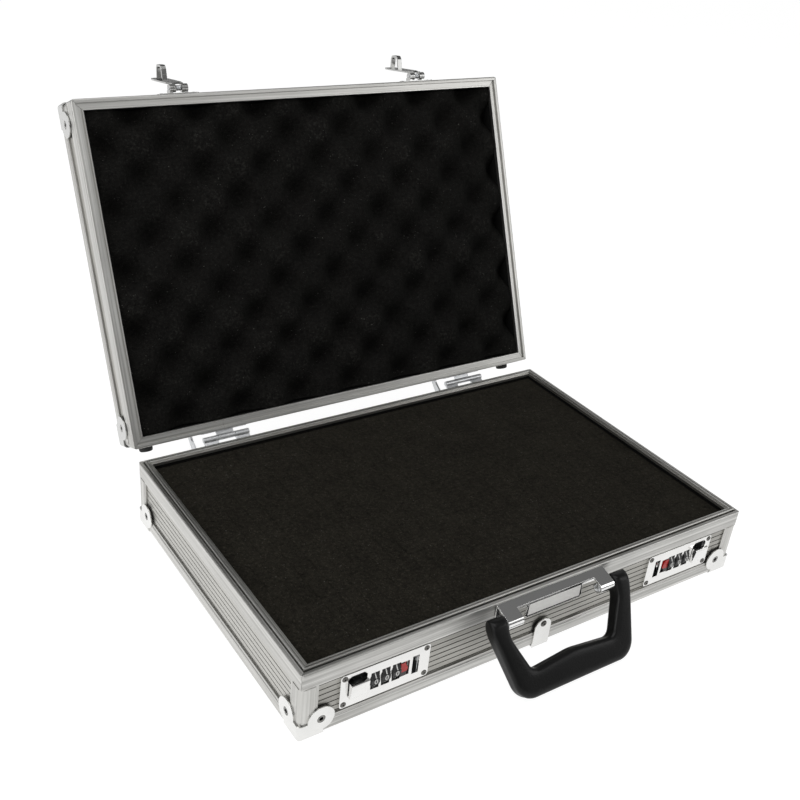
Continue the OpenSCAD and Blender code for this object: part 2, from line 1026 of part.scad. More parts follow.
// Bright handle bracket: wall flange, sloped top, end curls and middle flap
module handle_bracket() {
    wall = -half_d - 0.05;
    curl_r = rod_r + bracket_t;
    front = -half_d - 7;
    slope = 19;
    tip_y = pivot_y - curl_r * sin(slope);
    tip_z = pivot_z + curl_r * cos(slope);
    fall = (bracket_top - tip_z) / (wall - tip_y);
    front_top = bracket_top - fall * (wall - front);
    color("Gainsboro")
        difference() {
            union() {
                translate([-bracket_half, 0, 0])
                    rotate([90, 0, 90])
                        linear_extrude(2 * bracket_half)
                            polygon([[wall, base_h - rim_h + 0.8], [wall, bracket_top],
                                     [front, front_top], [front, front_top - bracket_t * 1.06],
                                     [wall - bracket_t, bracket_top - bracket_t * 1.35],
                                     [wall - bracket_t, base_h - rim_h + 0.8]]);
                for (x = [-bracket_half, bracket_half - 14])
                    translate([x, 0, 0]) {
                        rotate([90, 0, 90])
                            linear_extrude(14)
                                polygon([[front + 1, front_top + fall],
                                         [tip_y, tip_z],
                                         [tip_y + 0.35, tip_z - bracket_t],
                                         [front + 1, front_top + fall - bracket_t * 1.06]]);
                        translate([0, pivot_y, pivot_z])
                            rotate([0, 90, 0])
                                difference() {
                                    cylinder(r = curl_r, h = 14);
                                    translate([-20, 0.4, -1])
                                        cube([40 - rod_r - 16.6, 20, 20]);
                                }
                    }
                translate([0, front + bracket_t, 0])
                    to_front()
                        linear_extrude(bracket_t)
                            polygon([[-26, front_top - 0.2], [26, front_top - 0.2], [28, 44.5],
                                     [26, 42.5], [-26, 42.5], [-28, 44.5]]);
            }
            translate([-80, pivot_y, pivot_z])
                rotate([0, 90, 0])
                    cylinder(r = rod_r, h = 160);
            bracket_rivet_holes();
        }
}

// Rivets of the bracket and of the bottom clip
module front_rivets() {
    color("Gainsboro") {
        bracket_rivet_places()
            rivet(2.6, 0.7, 1.6, 8.2, 0.8);
        translate([0, -half_d - cap_t, clip_rivet_z])
            to_back()
                rivet(2.8, 0.8, 1.6, 7.4, 0.9);
    }
}

// Clip that wraps the front lower edge in the middle
module bottom_clip() {
    r = clip_w / 2;
    color("Gainsboro") {
        difference() {
            translate([0, -half_d, 0])
                to_front()
                    linear_extrude(cap_t) {
                        translate([-r, 0])
                            square([clip_w, clip_top - r]);
                        translate([0, clip_top - r])
                            circle(r);
                    }
            translate([0, -half_d - 5, clip_rivet_z])
                to_back()
                    cylinder(r = 1.6, h = 10);
        }
        translate([-r, -half_d - cap_t, 0])
            cube([clip_w, 12, cap_t]);
    }
}

// Rod through the bracket curls and the handle arms
module handle_rod() {
    color("Silver")
        translate([1.5 - handle_half, pivot_y, pivot_z])
            rotate([0, 90, 0])
                cylinder(r = rod_r, h = 2 * handle_half - 3);
}

// Outline of the handle at one level, drawn in by an inset
module handle_outline(e) {
    end = 7;
    r = 16;
    inner = bracket_half + 0.4;
    grip_in = handle_l - grip_w;
    right = concat(
        [[handle_half - e - 1.5, end - e], [handle_half - e, end - 1.5 - e],
         [handle_half - e, -4]],
        arc(grip_half - r, r - handle_l, r - e, 12, -90, 8));
    side = [[inner + e, end + 9], [inner + e, -7], [inner + e - 6.5, -20]];
    crown = concat(side, arc(inner - 18, 8 - grip_in - e, 8, 10, -90, 4),
        [[0, 3 - grip_in - e]]);
    difference() {
        polygon(concat(right, [for (k = [len(right) - 1:-1:0]) [-right[k][0], right[k][1]]]));
        polygon(concat(crown,
            [for (k = [len(crown) - 2:-1:0]) [-crown[k][0], crown[k][1]]]));
    }
}

// Moulded handle hanging down from its rod to the ground
module handle() {
    half = handle_t / 2;
    levels = [[half * 0.4, 0], [half * 0.65, 0.9], [half * 0.83, 1.9],
              [half * 0.94, 2.9], [half, 3.9]];
    color("Black")
        translate([0, pivot_y, pivot_z])
            rotate([handle_droop, 0, 0])
                difference() {
                    union() {
                        for (level = levels)
                            translate([0, 0, -level[0]])
                                linear_extrude(2 * level[0])
                                    handle_outline(level[1]);
                    }
                    translate([1.4 - handle_half, 0, 0])
                        rotate([0, 90, 0])
                            cylinder(r = rod_r + running, h = 2 * handle_half - 2.8);
                }
}

// Centres of the rivets of the base hinge leaves on the rear rim bar
module hinge_rivet_places() {
    for (sx = [-1, 1], dx = [-14, 0, 14])
        translate([sx * hinge_x + dx, half_d, base_h - 9])
            children();
}

// Section of a hinge leaf with its knuckle strip, up or down from the axis
module leaf_section(way) {
    face = -hinge_back - band_in;
    low = (way < 0) ? hinge_rise + bead_h + 0.6 : bead_h + 0.6 - hinge_rise;
    polygon([[face, way * low], [face, way * (low + 10)],
             [face + leaf_t, way * (low + 10)], [face + leaf_t, way * low]]);
}

// Strip from a leaf to the barrel
module leaf_strip(way) {
    face = -hinge_back - band_in;
    low = (way < 0) ? hinge_rise + bead_h + 0.6 : bead_h + 0.6 - hinge_rise;
    polygon([[face + 0.05, way * low], [face + leaf_t, way * (low + 1.4)],
             [-0.5, way * (hinge_barrel_r - 0.2)], [1.2 - hinge_barrel_r, way * 1.5],
             [0.4 - hinge_barrel_r, way * 1.2]]);
}

// Hinge piece between two X places, drawn about the axis
module hinge_knuckle(x0, x1, way, bore) {
    difference() {
        union() {
            knuckle(x0, x1, hinge_barrel_r, 0.3);
            translate([x0, 0, 0])
                rotate([90, 0, 90])
                    linear_extrude(x1 - x0)
                        leaf_strip(way);
        }
        translate([x0 - 1, 0, 0])
            rotate([0, 90, 0])
                cylinder(r = bore, h = x1 - x0 + 2);
    }
}

// Places a hinge drawn about its axis
module at_hinges() {
    for (sx = [-1, 1])
        translate([sx * hinge_x, hinge_y, hinge_z])
            children();
}

// Base leaves, each with two knuckles and the ear on which the lid rests
module hinge_base_leaves() {
    half = hinge_w / 2;
    mid = hinge_w * 0.19;
    face = -hinge_back - band_in;
    low = -hinge_rise - bead_h - 0.6;
    near = opened([face + 0.05, 4]);
    far = opened([face + 0.05, 8.5]);
    color("Gainsboro")
        difference() {
            at_hinges() {
                translate([-stop_x - 1, 0, 0])
                    rotate([90, 0, 90])
                        linear_extrude(half + stop_x + 1)
                            leaf_section(-1);
                hinge_knuckle(-half, -mid - 0.15, -1, hinge_pin_r);
                hinge_knuckle(mid + 0.15, half, -1, hinge_pin_r);
                translate([-stop_x - 1, 0, 0])
                    rotate([90, 0, 90])
                        linear_extrude(2)
                            polygon([[face, low], [face, low - 10],
                                     [face + leaf_t, low - 10],
                                     [far[0] - 0.6, far[1] - 3], far, near,
                                     [near[0] - 1.4, near[1] - 2.2],
                                     [face + leaf_t, low]]);
            }
            hinge_rivet_places()
                rotate([90, 0, 0])
                    cylinder(r = 1.5, h = 14, center = true);
        }
}

// Lid leaves, each with the middle knuckle
module hinge_lid_leaves() {
    half = hinge_w / 2;
    mid = hinge_w * 0.19;
    color("Gainsboro")
        on_lid()
            difference() {
                at_hinges() {
                    translate([-half, 0, 0])
                        rotate([90, 0, 90])
                            linear_extrude(hinge_w)
                                leaf_section(1);
                    hinge_knuckle(0.15 - mid, mid - 0.15, 1, hinge_pin_r + running);
                }
                lid_hinge_rivet_places()
                    rotate([90, 0, 0])
                        cylinder(r = 1.5, h = 14, center = true);
            }
}

// Pins of both hinges
module hinge_pins() {
    color("Silver")
        at_hinges()
            translate([-hinge_w / 2 - 0.3, 0, 0])
                rotate([0, 90, 0])
                    cylinder(r = hinge_pin_r, h = hinge_w + 0.6);
}

// Rivets of the base leaves
module hinge_base_rivets() {
    color("Gainsboro")
        hinge_rivet_places()
            translate([0, leaf_t - band_in, 0])
                to_front()
                    rivet(2.3, 0.6, 1.5, 7.2, 0.7);
}

// Centres of the rivets of the lid leaves, on the shut lid
module lid_hinge_rivet_places() {
    for (sx = [-1, 1], dx = [-14, 0, 14])
        translate([sx * hinge_x + dx, half_d, base_h + 8])
            children();
}

// Rivets of the lid leaves
module hinge_lid_rivets() {
    color("Gainsboro")
        on_lid()
            lid_hinge_rivet_places()
                translate([0, leaf_t - band_in, 0])
                    to_front()
                        rivet(2.3, 0.6, 1.5, 7.2, 0.7);
}

// Centres of the two rear feet of the base, Z outward
module base_foot_places() {
    for (sx = [-1, 1])
        translate([sx * base_foot_x, half_d, base_foot_z])
            to_back()
                children();
}

// Rubber foot with a screw recess and a stem into the wall
module rear_foot(r, l) {
    rotate_extrude()
        polygon([[0, -6.8], [shank_r, -6.8], [shank_r, 0], [r, 0], [r, 1.5],
                 [r - 1, l - 1], [r - 1.4, l - 0.3], [r - 2, l], [2.6, l],
                 [2.4, l - 3], [0, l - 3]]);
}

// Rear feet of the base
module base_rear_feet() {
    color("Black")
        base_foot_places()
            rear_foot(foot_r, foot_l);
}

// Rear feet of the lid, through the ears of the rear caps
module lid_rear_feet() {
    color("Black")
        on_lid()
            for (sx = [-1, 1])
                translate([sx * (half_w - ear_in), half_d + cap_t, lid_top - cap_t - ear_up])
                    to_back()
                        rear_foot(foot_r - 0.6, foot_l);
}

// Rim bars of the lid, with a butt joint in the rear bar
module lid_rim() {
    color("Silver")
        on_lid()
            difference() {
                four_bars(rim_w + 1)
                    translate([0, base_h])
                        polygon(concat(
                            [[band_in, rim_h], [band_in, bead_h + 0.35], [0, bead_h]],
                            arc(bead_r, part_gap + bead_r, bead_r, 180, 270),
                            [[3.2, part_gap], [3.2, 2.2], [7.9, 2.2], [7.9, 0.8],
                             [rim_w, 0.8], [rim_w, 2.2 + web_t], [lining_in, 2.2 + web_t],
                             [lining_in, 12], [slot_in, 12], [slot_in, 2.2 + web_t],
                             [bar_t, 2.2 + web_t], [bar_t, rim_h]]));
                translate([seam_x, half_d - 20, base_h - 1])
                    cube([mitre_gap, 25, rim_h + 2]);
                lid_hinge_rivet_places()
                    rotate([90, 0, 0])
                        cylinder(r = 1.5, h = 15.5, center = true);
                for (side = [-1, 1])
                    at_hasp(side)
                        hasp_rivet_places()
                            cylinder(r = 1.5, h = 14, center = true);
            }
}

// Top edge bars of the lid
module lid_top_edges() {
    color("Silver")
        on_lid()
            at_lid_top()
                four_bars(edge_flange + 1)
                    polygon(concat(
                        arc(corner_r, cap_t + corner_r, corner_r, 270, 180),
                        [[0, top_edge_h - 3], [band_in, top_edge_h - 2.6],
                         [band_in, top_edge_h], [bar_t, top_edge_h], [bar_t, floor_z],
                         [edge_flange, floor_z], [edge_flange, cap_t]]));
}

// Corner bars of the lid
module lid_corner_posts() {
    color("Silver")
        on_lid()
            at_corners()
                post(base_h + rim_h, lid_top - top_edge_h);
}

// Corner caps of the lid
module lid_corner_caps() {
    color("LightGray")
        on_lid()
            at_lid_top()
                at_corners()
                    translate([0, 0, cap_t])
                        cap();
}

// Rivets in the ears of the lid caps, left out where the rear feet go through
module lid_cap_rivets() {
    color("Gainsboro")
        on_lid()
            at_lid_top() {
                at_corners(back = false)
                    translate([0, 0, cap_t])
                        cap_rivets([0, 1]);
                at_corners(front = false)
                    translate([0, 0, cap_t])
                        cap_rivets([1]);
            }
}

// Top panel of the lid
module lid_top_panel() {
    inset = panel_in + panel_t;
    color("DimGray")
        on_lid()
            difference() {
                translate([inset - half_w, inset - half_d, lid_floor - floor_t])
                    cube([case_w - 2 * inset, case_d - 2 * inset, floor_t]);
                at_lid_top()
                    at_corners()
                        translate([ear_in, ear_in, 0])
                            cylinder(r = shank_r + rivet_clear, h = 20);
            }
}

// Four low wall panels of the lid
module lid_wall_panels() {
    long_w = case_w - 2 * panel_in;
    long_d = case_d - 2 * (panel_in + panel_t) - 0.4;
    tall = lid_floor - lid_wall_low;
    color("DimGray")
        on_lid()
            difference() {
                union() {
                    for (sy = [-1, 1])
                        translate([-long_w / 2,
                                   sy * (half_d - panel_in - panel_t / 2) - panel_t / 2,
                                   lid_wall_low])
                            cube([long_w, panel_t, tall]);
                    for (sx = [-1, 1])
                        translate([sx * (half_w - panel_in - panel_t / 2) - panel_t / 2,
                                   -long_d / 2, lid_wall_low])
                            cube([panel_t, long_d, tall]);
                }
                at_lid_top()
                    at_corners() {
                        ear_holes();
                        post_room();
                    }
                lid_hinge_rivet_places()
                    rotate([90, 0, 0])
                        cylinder(r = 1.5, h = 15.5, center = true);
                for (side = [-1, 1])
                    at_hasp(side)
                        hasp_rivet_places()
                            cylinder(r = 1.5, h = 14, center = true);
            }
}

// Lining strips round the inside of the lid
module lid_lining() {
    color("Black")
        on_lid()
            lining(lid_wall_low, lid_floor - floor_t);
}

// Foam sheet in the lid with staggered hollows and peaks
module lid_foam() {
    nx = 40;
    ny = 26;
    inset = rim_w + 0.3;
    w = half_w - inset;
    d = half_d - inset;
    back_z = lid_floor - floor_t - 0.3;
    mid_z = base_h + 3 + foam_wave;
    grid = [for (i = [0:nx], j = [0:ny])
        let (x = -w + 2 * w * i / nx, y = -d + 2 * d * j / ny)
        [x, y, mid_z + foam_wave * cos(360 * (x - 36) / foam_pitch_x)
                                * cos(360 * (y + 104) / foam_pitch_y)]];
    a = len(grid);
    row = ny + 1;
    border = concat(
        [for (i = [0:nx]) i * row],
        [for (j = [1:ny]) nx * row + j],
        [for (i = [nx - 1:-1:0]) i * row + ny],
        [for (j = [ny - 1:-1:1]) j]);
    n = len(border);
    flat_back = [for (k = border) [grid[k][0], grid[k][1], back_z]];
    points = concat(grid, flat_back, [[0, 0, back_z]]);
    faces = concat(
        [for (i = [0:nx - 1], j = [0:ny - 1])
            [i * row + j, (i + 1) * row + j, (i + 1) * row + j + 1]],
        [for (i = [0:nx - 1], j = [0:ny - 1])
            [i * row + j, (i + 1) * row + j + 1, i * row + j + 1]],
        [for (k = [0:n - 1])
            [a + k, a + (k + 1) % n, border[(k + 1) % n]]],
        [for (k = [0:n - 1])
            [a + k, border[(k + 1) % n], border[k]]],
        [for (k = [0:n - 1])
            [a + n, a + (k + 1) % n, a + k]]);
    color("DarkSlateGray")
        on_lid()
            polyhedron(points, faces);
}

base_rim();
base_bottom_edges();
base_corner_posts();
base_corner_caps();
base_cap_rivets();
base_front_panel();
base_rear_panel();
base_side_panels();
base_bottom_panel();
base_lining();
base_foam();
base_rear_feet();
bottom_clip();
handle_bracket();
front_rivets();
handle_rod();
lock_plate_left();
lock_plate_right();
lock_body_left();
lock_body_right();
lock_spindles();
lock_spring_left();
lock_spring_right();
lock_rivets();
hinge_base_leaves();
hinge_pins();
hinge_base_rivets();
lid_rim();
lid_top_edges();
lid_corner_posts();
lid_corner_caps();
lid_cap_rivets();
lid_top_panel();
lid_wall_panels();
lid_lining();
lid_foam();
lid_rear_feet();
hinge_lid_leaves();
hinge_lid_rivets();
hasp_plates();
hasp_rivets();
hasp_pins();
hasp_spring_left();
hasp_spring_right();
handle();
hasp_left();
hasp_right();
lock_slider_left();
lock_slider_right();
number_wheel_left_1();
number_wheel_left_2();
number_wheel_left_3();
number_wheel_right_1();
number_wheel_right_2();
number_wheel_right_3();
code_lever_left();
code_lever_right();
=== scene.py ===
import math

import bmesh
import bpy
import numpy as np
from mathutils import Matrix, Vector


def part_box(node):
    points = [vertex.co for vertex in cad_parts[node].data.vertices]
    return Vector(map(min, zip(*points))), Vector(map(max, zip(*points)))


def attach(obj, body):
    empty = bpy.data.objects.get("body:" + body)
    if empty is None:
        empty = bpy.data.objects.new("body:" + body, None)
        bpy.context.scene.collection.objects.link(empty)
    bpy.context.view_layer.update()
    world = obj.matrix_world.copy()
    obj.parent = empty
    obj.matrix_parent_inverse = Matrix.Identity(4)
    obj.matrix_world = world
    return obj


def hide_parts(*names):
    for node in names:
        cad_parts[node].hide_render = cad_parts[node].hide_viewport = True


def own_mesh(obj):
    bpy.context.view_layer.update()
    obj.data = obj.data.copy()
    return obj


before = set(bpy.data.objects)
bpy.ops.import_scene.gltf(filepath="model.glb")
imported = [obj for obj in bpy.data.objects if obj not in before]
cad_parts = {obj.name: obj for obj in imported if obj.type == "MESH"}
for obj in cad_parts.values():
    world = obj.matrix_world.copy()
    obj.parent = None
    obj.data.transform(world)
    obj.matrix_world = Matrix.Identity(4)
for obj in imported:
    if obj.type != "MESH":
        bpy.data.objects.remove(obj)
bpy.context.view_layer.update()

# Studio: a pale floor, soft lamps and a white surround.
# The floor is white to the eye and still takes the case's shadow.

scene = bpy.context.scene
scene.view_settings.view_transform = "Standard"


class Value:
    """A socket's number or colour, which varies over a surface. Sums and products of
    numbers add Math nodes to its tree."""

    def __init__(self, nodes, socket):
        self.nodes = nodes
        self.socket = socket

    def math(self, operation, a, b=0.0, clamp=False):
        settings = {"operation": operation, "use_clamp": clamp}
        return self.nodes.node("ShaderNodeMath", settings, {0: a, 1: b})

    def __add__(self, other):
        return self.math("ADD", self, other)

    def __radd__(self, other):
        return self.math("ADD", other, self)

    def __sub__(self, other):
        return self.math("SUBTRACT", self, other)

    def __rsub__(self, other):
        return self.math("SUBTRACT", other, self)

    def __mul__(self, other):
        return self.math("MULTIPLY", self, other)

    def __rmul__(self, other):
        return self.math("MULTIPLY", other, self)

    def __abs__(self):
        return self.math("ABSOLUTE", self)

    def above(self, level):
        return self.math("GREATER_THAN", self, level)

    def below(self, level):
        return self.math("LESS_THAN", self, level)

    def larger(self, other):
        return self.math("MAXIMUM", self, other)

    def wave(self):
        return self.math("SINE", self)

    def clamped(self):
        return self.math("ADD", self, 0.0, True)


class Nodes:
    """A node tree that grows by one call per node."""

    def __init__(self, tree):
        self.tree = tree

    def node(self, kind, settings, inputs, out=0):
        """Adds a node by its type, its settings and its inputs, and hands back one output.
        stops are the places and grey levels of a ramp, from low to high."""
        made = self.tree.nodes.new(kind)
        for key, setting in settings.items():
            if key == "stops":
                ramp = made.color_ramp
                for at, level in setting[2:]:
                    ramp.elements.new(at)
                for element, (at, level) in zip(ramp.elements, setting):
                    element.position = at
                    element.color = (level, level, level, 1)
            else:
                setattr(made, key, setting)
        for key, given in inputs.items():
            if isinstance(given, Value):
                self.tree.links.new(given.socket, made.inputs[key])
            else:
                made.inputs[key].default_value = given
        return Value(self, made.outputs[out]) if made.outputs else None


world = bpy.data.worlds.new("studio")
scene.world = world
world.use_nodes = True
sky = Nodes(world.node_tree)
sky.tree.nodes.clear()
direction = sky.node("ShaderNodeTexCoord", {}, {}, "Generated")
height = sky.node("ShaderNodeSeparateXYZ", {}, {0: direction}, "Z")
# Metal mirrors the surround in bands: pale round the horizon, dim above and below it.
levels = ((0.0, 0.10), (0.22, 0.16), (0.38, 0.95), (0.58, 1.0), (0.72, 0.22), (1.0, 0.30))
bands = sky.node("ShaderNodeValToRGB", {"stops": levels}, {"Fac": height})
fill = sky.node("ShaderNodeBackground", {}, {"Color": bands, "Strength": 0.62})
surround = sky.node("ShaderNodeBackground", {}, {"Color": (1, 1, 1, 1), "Strength": 1.0})
seen = sky.node("ShaderNodeLightPath", {}, {}, "Is Camera Ray")
either = sky.node("ShaderNodeMixShader", {}, {"Fac": seen, 1: fill, 2: surround})
sky.node("ShaderNodeOutputWorld", {}, {"Surface": either})

floor_mesh = bpy.data.meshes.new("floor")
floor_mesh.from_pydata([(-6, -6, 0), (6, -6, 0), (6, 6, 0), (-6, 6, 0)], [], [(0, 1, 2, 3)])
floor = bpy.data.objects.new("floor", floor_mesh)
scene.collection.objects.link(floor)
paper = bpy.data.materials.new("paper")
paper.use_nodes = True
floor_mesh.materials.append(paper)
sheet = Nodes(paper.node_tree)
sheet.tree.nodes.clear()
lit = sheet.node("ShaderNodeBsdfDiffuse", {}, {"Color": (0.86, 0.86, 0.86, 1)})
glow = sheet.node("ShaderNodeEmission", {}, {"Color": (1, 1, 1, 1), "Strength": 1.28})
# The glow shows to the eye and in gloss; in gloss it is dimmer before the front wall, a painted shade
# on the floor that the front wall mirrors.
floor_place = sheet.node("ShaderNodeTexCoord", {}, {}, "Object")
floor_y = sheet.node("ShaderNodeSeparateXYZ", {}, {0: floor_place}, "Y")
gloss_shade_ramp = {"Value": floor_y, "From Min": -0.24, "From Max": -0.12, "To Min": 0.66, "To Max": 1.0}
painted_gloss_shade = sheet.node("ShaderNodeMapRange", {}, gloss_shade_ramp)
to_camera = sheet.node("ShaderNodeLightPath", {}, {}, "Is Camera Ray")
in_gloss = sheet.node("ShaderNodeLightPath", {}, {}, "Is Glossy Ray")
share = to_camera.larger(in_gloss * painted_gloss_shade) * 0.72
paper_mix = sheet.node("ShaderNodeMixShader", {}, {"Fac": share, 1: lit, 2: glow})
sheet.node("ShaderNodeOutputMaterial", {}, {"Surface": paper_mix})


def lamp(name, place, aim, width, height, power):
    """A soft box of the given size and power at a place, turned to a point."""
    data = bpy.data.lights.new(name, "AREA")
    data.shape = "RECTANGLE"
    data.size = width
    data.size_y = height
    data.energy = power
    obj = bpy.data.objects.new(name, data)
    scene.collection.objects.link(obj)
    obj.location = place
    obj.rotation_euler = (Vector(aim) - Vector(place)).to_track_quat("-Z", "Y").to_euler()


lamp("top_box", (-0.3, -0.2, 1.7), (0, 0, 0), 1.6, 1.2, 12)
lamp("left_box", (-1.7, -0.5, 0.9), (0, 0, 0.1), 1.0, 1.4, 9)
lamp("right_box", (1.5, -1.3, 0.9), (0, 0, 0.1), 0.8, 1.2, 5)

# Camera: the photograph's viewing angle, solved from the corners of the case.
# It looks 36 degrees from the left and 30 degrees down, and leans by 6 degrees.

yaw, pitch, roll = 0.635, 0.528, 0.107
stand = (-0.4735, -0.5776, 0.5506)
ahead = math.cos(pitch)
forward = Vector((math.sin(yaw) * ahead, math.cos(yaw) * ahead, -math.sin(pitch)))
level_right = Vector((math.cos(yaw), -math.sin(yaw), 0))
level_up = level_right.cross(forward)
right = level_right * math.cos(roll) + level_up * math.sin(roll)
upward = level_up * math.cos(roll) - level_right * math.sin(roll)
camera_data = bpy.data.cameras.new("camera")
camera_data.sensor_width = 36
camera_data.lens = 47.46
camera_data.shift_x = -0.004
camera_data.shift_y = 0.0324
camera_data.clip_start = 0.01
camera = bpy.data.objects.new("camera", camera_data)
scene.collection.objects.link(camera)
turned = Matrix((right, upward, -forward)).transposed().to_4x4()
camera.matrix_world = Matrix.Translation(stand) @ turned
scene.camera = camera

# Frame bars: extruded aluminium with a satin anodised skin and fine draw lines
# along each bar. The rim, lower edge and corner bars meet in mitred joints.

CASE_W, CASE_D, BASE_H, LID_H = 0.425, 0.285, 0.0605, 0.038
HINGE_Y, HINGE_Z = CASE_D / 2 + 0.006, BASE_H + 0.001
OPEN = math.radians(113)
BAR = 0.014


class Finish(Nodes):
    """One procedural material. place is the point on the piece in metres; on the lid it is
    turned back to where the point lies on the shut lid."""

    def __init__(self, name, on_lid=False):
        self.material = bpy.data.materials.new(name)
        self.material.use_nodes = True
        super().__init__(self.material.node_tree)
        self.shader = self.tree.nodes["Principled BSDF"]
        self.place = self.node("ShaderNodeTexCoord", {}, {}, "Object")
        if on_lid:
            axis = Vector((0, HINGE_Y, HINGE_Z))
            shift = axis - Matrix.Rotation(OPEN, 3, "X") @ axis
            self.place = self.moved(location=shift, rotation=(OPEN, 0, 0))

    def moved(self, location=(0, 0, 0), rotation=(0, 0, 0), scale=(1, 1, 1)):
        """The place scaled, turned and then shifted."""
        inputs = {"Vector": self.place, "Location": location, "Rotation": rotation, "Scale": scale}
        return self.node("ShaderNodeMapping", {}, inputs)

    def axes(self, wanted):
        """The point's places along the wanted axes, such as XY, one value each."""
        return [self.node("ShaderNodeSeparateXYZ", {}, {0: self.place}, axis) for axis in wanted]

    def noise(self, size, detail=3, stretch=(1, 1, 1)):
        """Noise with features of about size metres, drawn out along the axes by stretch."""
        place = self.moved(scale=tuple(1 / (size * s) for s in stretch))
        inputs = {"Vector": place, "Scale": 1.0, "Detail": detail, "Roughness": 0.5}
        return self.node("ShaderNodeTexNoise", {}, inputs, "Fac")

    def cells(self, size, feature="F1"):
        """Distance from the middle of each cell, the cells being about size metres wide."""
        inputs = {"Vector": self.place, "Scale": 1 / size}
        return self.node("ShaderNodeTexVoronoi", {"feature": feature}, inputs, "Distance")

    def between(self, factor, first, second):
        """A colour between two, by a factor."""
        colours = [c if isinstance(c, Value) else (*c, 1) for c in (first, second)]
        inputs = {0: factor, 6: colours[0], 7: colours[1]}
        return self.node("ShaderNodeMix", {"data_type": "RGBA"}, inputs, 2)

    def soft_edges(self, radius):
        """Normals rounded at the edges, as the broken edges of a real part."""
        return self.node("ShaderNodeBevel", {"samples": 4}, {"Radius": radius})

    def grooves(self, reach):
        """Painted shade: one on open faces, falling toward nothing in a piece's own steps and
        corners.
        """
        settings = {"samples": 6, "only_local": True}
        return self.node("ShaderNodeAmbientOcclusion", settings, {"Distance": reach}, "AO")

    def bump(self, height, depth, normal=None):
        """Normals that follow a height of zero to one, scaled to a depth in metres."""
        inputs = {"Height": height, "Distance": depth, "Strength": 1.0}
        if normal is not None:
            inputs["Normal"] = normal
        return self.node("ShaderNodeBump", {}, inputs)

    def surface(self, **inputs):
        """Sets sockets of the shader, named with underscores for spaces."""
        for key, given in inputs.items():
            socket = self.shader.inputs[key.replace("_", " ")]
            if isinstance(given, Value):
                self.tree.links.new(given.socket, socket)
            else:
                socket.default_value = given
        return self.material


def wear(names, material):
    """Gives CAD nodes a finish in place of their plain one."""
    for name in names:
        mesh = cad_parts[name].data
        mesh.materials.clear()
        mesh.materials.append(material)


def anodised(name, on_lid, low, high, upright=False, front_shade_low=None):
    """Satin aluminium between two greys, with draw lines along the bar and painted shade in its
    steps. The front bars may have a darker low tone than the others, a painted shade."""
    finish = Finish(name, on_lid)
    if upright:
        lines = finish.noise(0.0005, 4, (1, 1, 90))
        streaks = finish.noise(0.0022, 2, (1, 1, 140))
    else:
        x, y = finish.axes("XY")
        side_bar = (abs(x) - CASE_W / 2 + BAR).above(abs(y) - CASE_D / 2 + BAR)
        lines_x = finish.noise(0.0005, 4, (90, 1, 1))
        lines_y = finish.noise(0.0005, 4, (1, 90, 1))
        lines = lines_x * (1 - side_bar) + lines_y * side_bar
        streaks_x = finish.noise(0.0022, 2, (140, 1, 1))
        streaks_y = finish.noise(0.0022, 2, (1, 140, 1))
        streaks = streaks_x * (1 - side_bar) + streaks_y * side_bar
        # Painted shade: the front bars take a darker low tone than the side and rear bars.
        if front_shade_low is not None:
            low = finish.between((1 - side_bar) * y.below(0.0), low, front_shade_low)
    cloud = finish.noise(0.05, 3)
    tone = ((lines * 0.35 + cloud * 0.2 + streaks * 0.7 - 0.12) * 1.9 - 0.45).clamped()
    # Painted shade: the bar's own steps and corners are darkened toward a dim grey.
    depth = ((finish.grooves(0.0014) - 0.2) * 1.9).clamped()
    colour = finish.between(depth, (0.2, 0.196, 0.18), finish.between(tone, low, high))
    rough = 0.27 + lines * 0.14 + cloud * 0.05
    normal = finish.bump(lines, 0.000012, finish.soft_edges(0.0003))
    return finish.surface(Base_Color=colour, Metallic=1.0, Roughness=rough, Normal=normal)


bar_grey, bar_light = (0.34, 0.335, 0.315), (0.78, 0.775, 0.75)
wear(["base_rim", "base_bottom_edges"],
     anodised("bars_base", False, bar_grey, bar_light, front_shade_low=(0.13, 0.127, 0.115)))
wear(["base_corner_posts"], anodised("posts_base", False, bar_grey, bar_light, True))
wear(["lid_rim", "lid_top_edges"], anodised("bars_lid", True, bar_grey, bar_light))
wear(["lid_corner_posts"], anodised("posts_lid", True, bar_grey, bar_light, True))

# Wall panels: aluminium-faced board with pressed grooves, slid into the bars.
# The floor and the lid top carry a sheet with narrow ribs.

RIB_PITCH = 0.0074


def ribbed_sheet(name, on_lid, ribs, groove_shade=(0.05, 0.048, 0.042), dark=(0.30, 0.293, 0.27)):
    """Rolled aluminium face, a little duller than the bars, with painted shade darkening its grooves
    and steps; ribs adds shallow ribs across y, painted in the shade colour."""
    finish = Finish(name, on_lid)
    grain = finish.noise(0.0006, 4, (60, 60, 1))
    cloud = finish.noise(0.035, 3)
    tone = (grain * 0.5 + cloud * 0.5).clamped()
    # Painted shade: the sheet's own steps and corners are darkened toward the groove shade colour.
    depth = ((finish.grooves(0.0018) - 0.4) * 2.2).clamped()
    colour = finish.between(depth, groove_shade, finish.between(tone, dark, (0.66, 0.65, 0.61)))
    rough = 0.33 + grain * 0.12 + cloud * 0.05
    rounded = finish.soft_edges(0.00025)
    if ribs:
        y = finish.axes("Y")[0]
        rib = (y * (2 * math.pi / RIB_PITCH)).wave().above(0.88)
        # Painted shade: the rib grooves take most of the groove shade colour.
        colour = finish.between(rib * 0.7, colour, groove_shade)
        normal = finish.bump(1 - rib, 0.0004, rounded)
    else:
        normal = finish.bump(grain, 0.000015, rounded)
    return finish.surface(Base_Color=colour, Metallic=1.0, Roughness=rough, Normal=normal)


